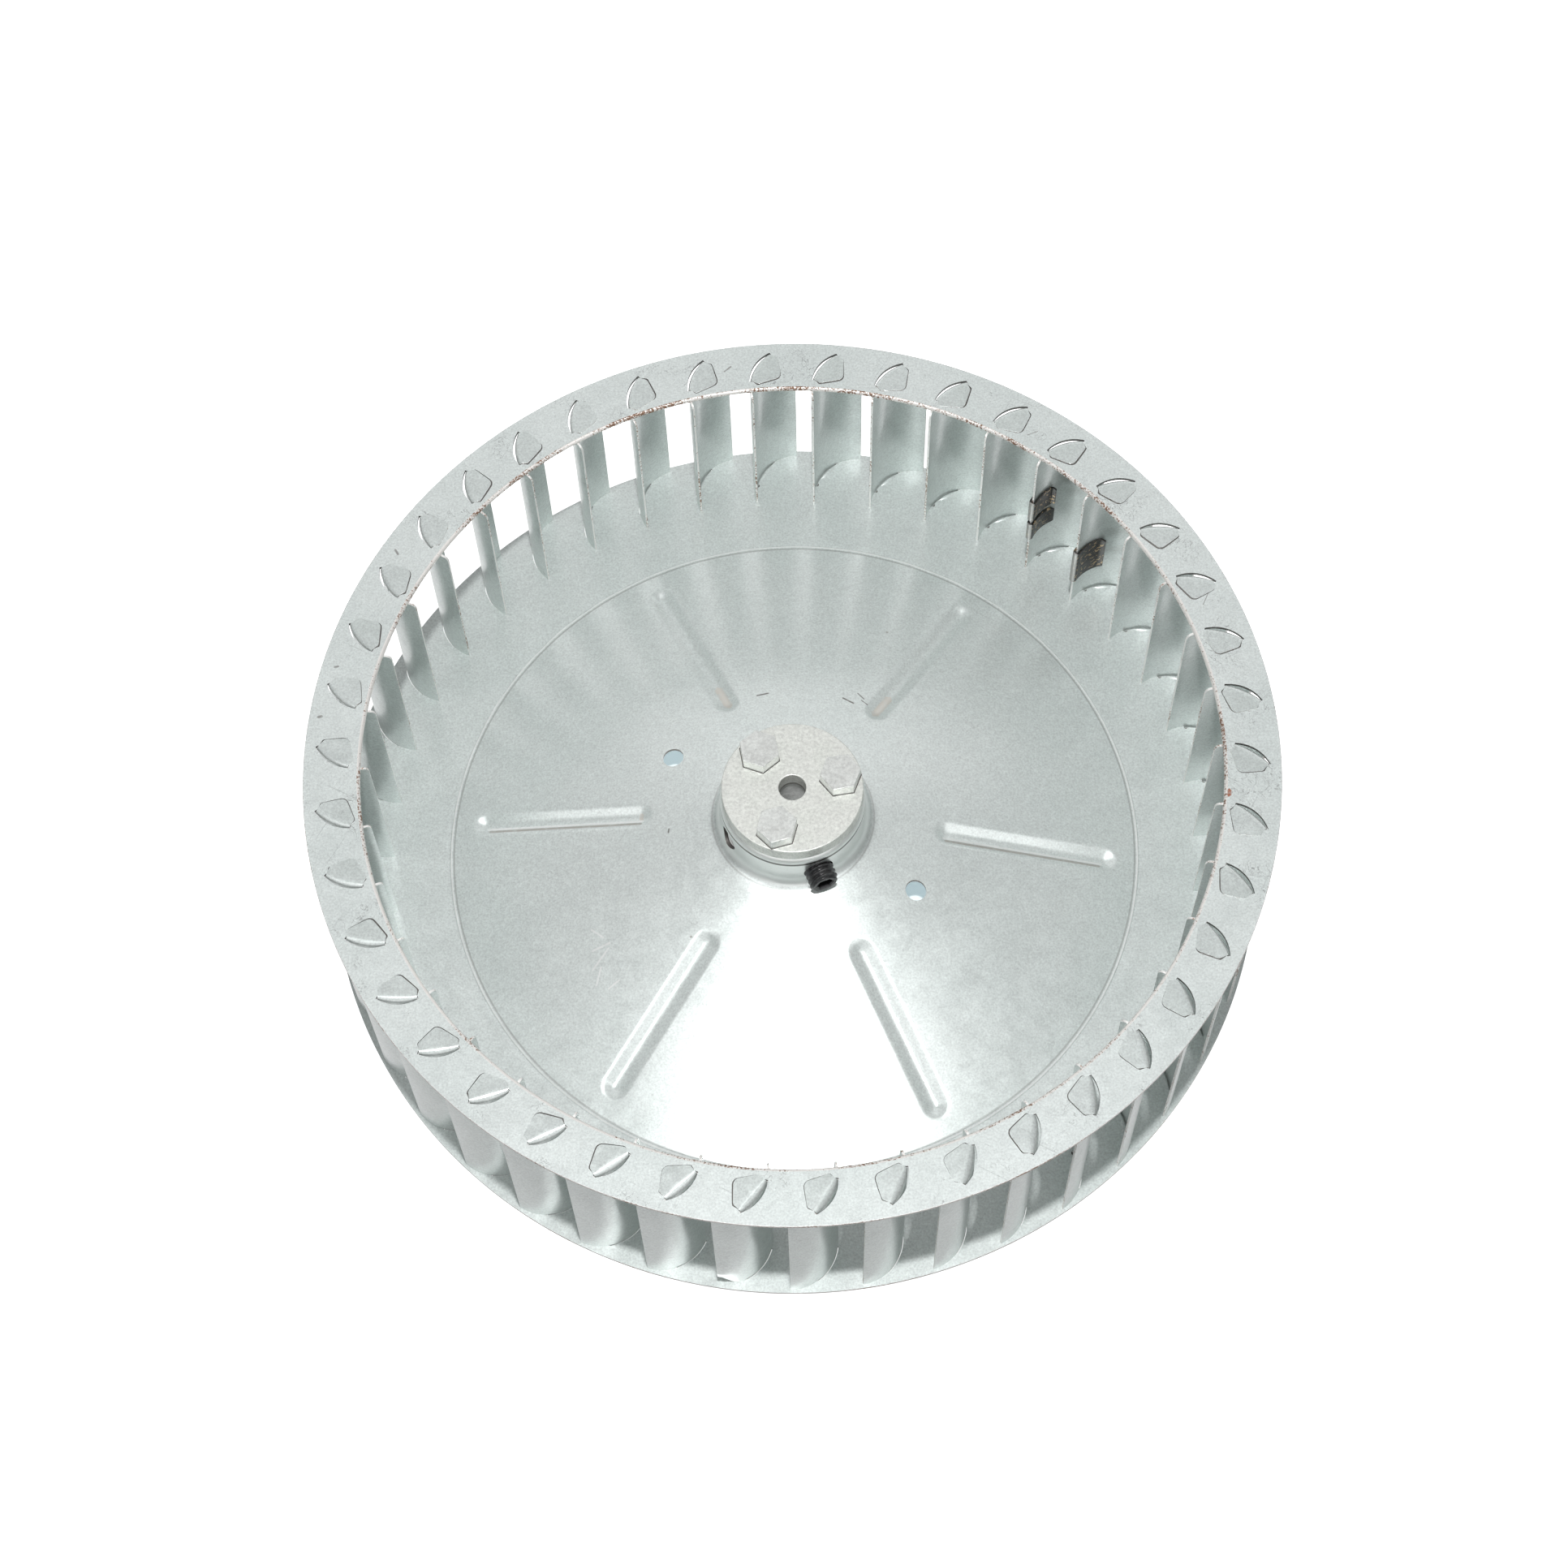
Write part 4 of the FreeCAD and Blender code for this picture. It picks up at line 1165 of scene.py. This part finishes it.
def clip_path(inner_end, outer_end, flare, curl):
    """Plan of a clip's middle line: hollow-side arm, round fold over the blade's edge, outer arm."""
    half = BLADE_SHEET / 2.0 + CLIP_GAP + CLIP_SHEET / 2.0
    edge = ARC_INNER_EDGE
    path = []
    for angle in np.linspace(inner_end, edge, 15):
        away = max(0.0, 1.0 - (angle - inner_end) / FLARE_SPAN)
        path.append(arc_point(ARC_RADIUS - half - (flare * away + curl * away ** 3), angle))
    middle = Vector(arc_point(ARC_RADIUS, edge))
    across = Vector(polar(1.0, edge))
    along = Vector((-across.y, across.x))
    for turn in np.linspace(0.0, math.pi, 11)[1:-1]:
        path.append(tuple(middle - across * (half * math.cos(turn)) + along * (half * 0.85 * math.sin(turn))))
    path += [arc_point(ARC_RADIUS + half, angle) for angle in np.linspace(edge, outer_end, 11)]
    return np.array(path)


def make_clip(number, index, low, height, inner_end, outer_end, flare, curl):
    """Spring-steel clip pushed over a blade's inner edge."""
    plan = clip_path(inner_end, outer_end, flare, curl)
    ahead = np.gradient(plan, axis=0)
    ahead /= np.linalg.norm(ahead, axis=1, keepdims=True)
    side = np.column_stack([ahead[:, 1], -ahead[:, 0]]) * (CLIP_SHEET / 2.0)
    share = np.linspace(0.0, 1.0, len(plan))
    corner = CLIP_CORNER * np.clip(1.0 - share * len(plan) / 3.0, 0.0, 1.0) ** 2
    levels = [low + up * height - corner * (2.0 * up - 1.0) for up in np.linspace(0.0, 1.0, 9)]
    front, back = (
        np.array([np.column_stack([rotate_plan(outline, blade_angle(index)), z]) for z in levels])
        for outline in (plan + side, plan - side)
    )
    loop = np.concatenate([front, back[::-1]], axis=0)
    count, columns = loop.shape[:2]
    faces = grid_faces(count, columns, True, False)
    for column in (0, columns - 1):
        cap = [row * columns + column for row in range(count)]
        for row in range(len(levels) - 1):
            quad = (cap[row], cap[row + 1], cap[count - 2 - row], cap[count - 1 - row])
            faces.append(quad if column else quad[::-1])
    clip = make_object("clip_skin_%d" % number, loop.reshape(-1, 3), faces, [spring])
    add_bevel(clip, CLIP_SOFT, 2, 50.0)
    apply_modifiers(clip)
    ride_and_name(clip, "balance_clip_%d" % number, body="clip_%d" % number)


def dress_hub():
    """Gives the hub, whose CAD shape stays, its material."""
    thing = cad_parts["hub"]
    thing.data.materials.clear()
    thing.data.materials.append(hub_metal)


make_ring()
make_plate()
for blade_index, blade_turn in enumerate(BLADE_ANGLES):
    make_blade(blade_index, blade_turn)
make_beads()
make_disc()
make_bolts()
make_screw()
for clip_number, clip_shape in enumerate(CLIPS, start=1):
    make_clip(clip_number, *clip_shape)
dress_hub()
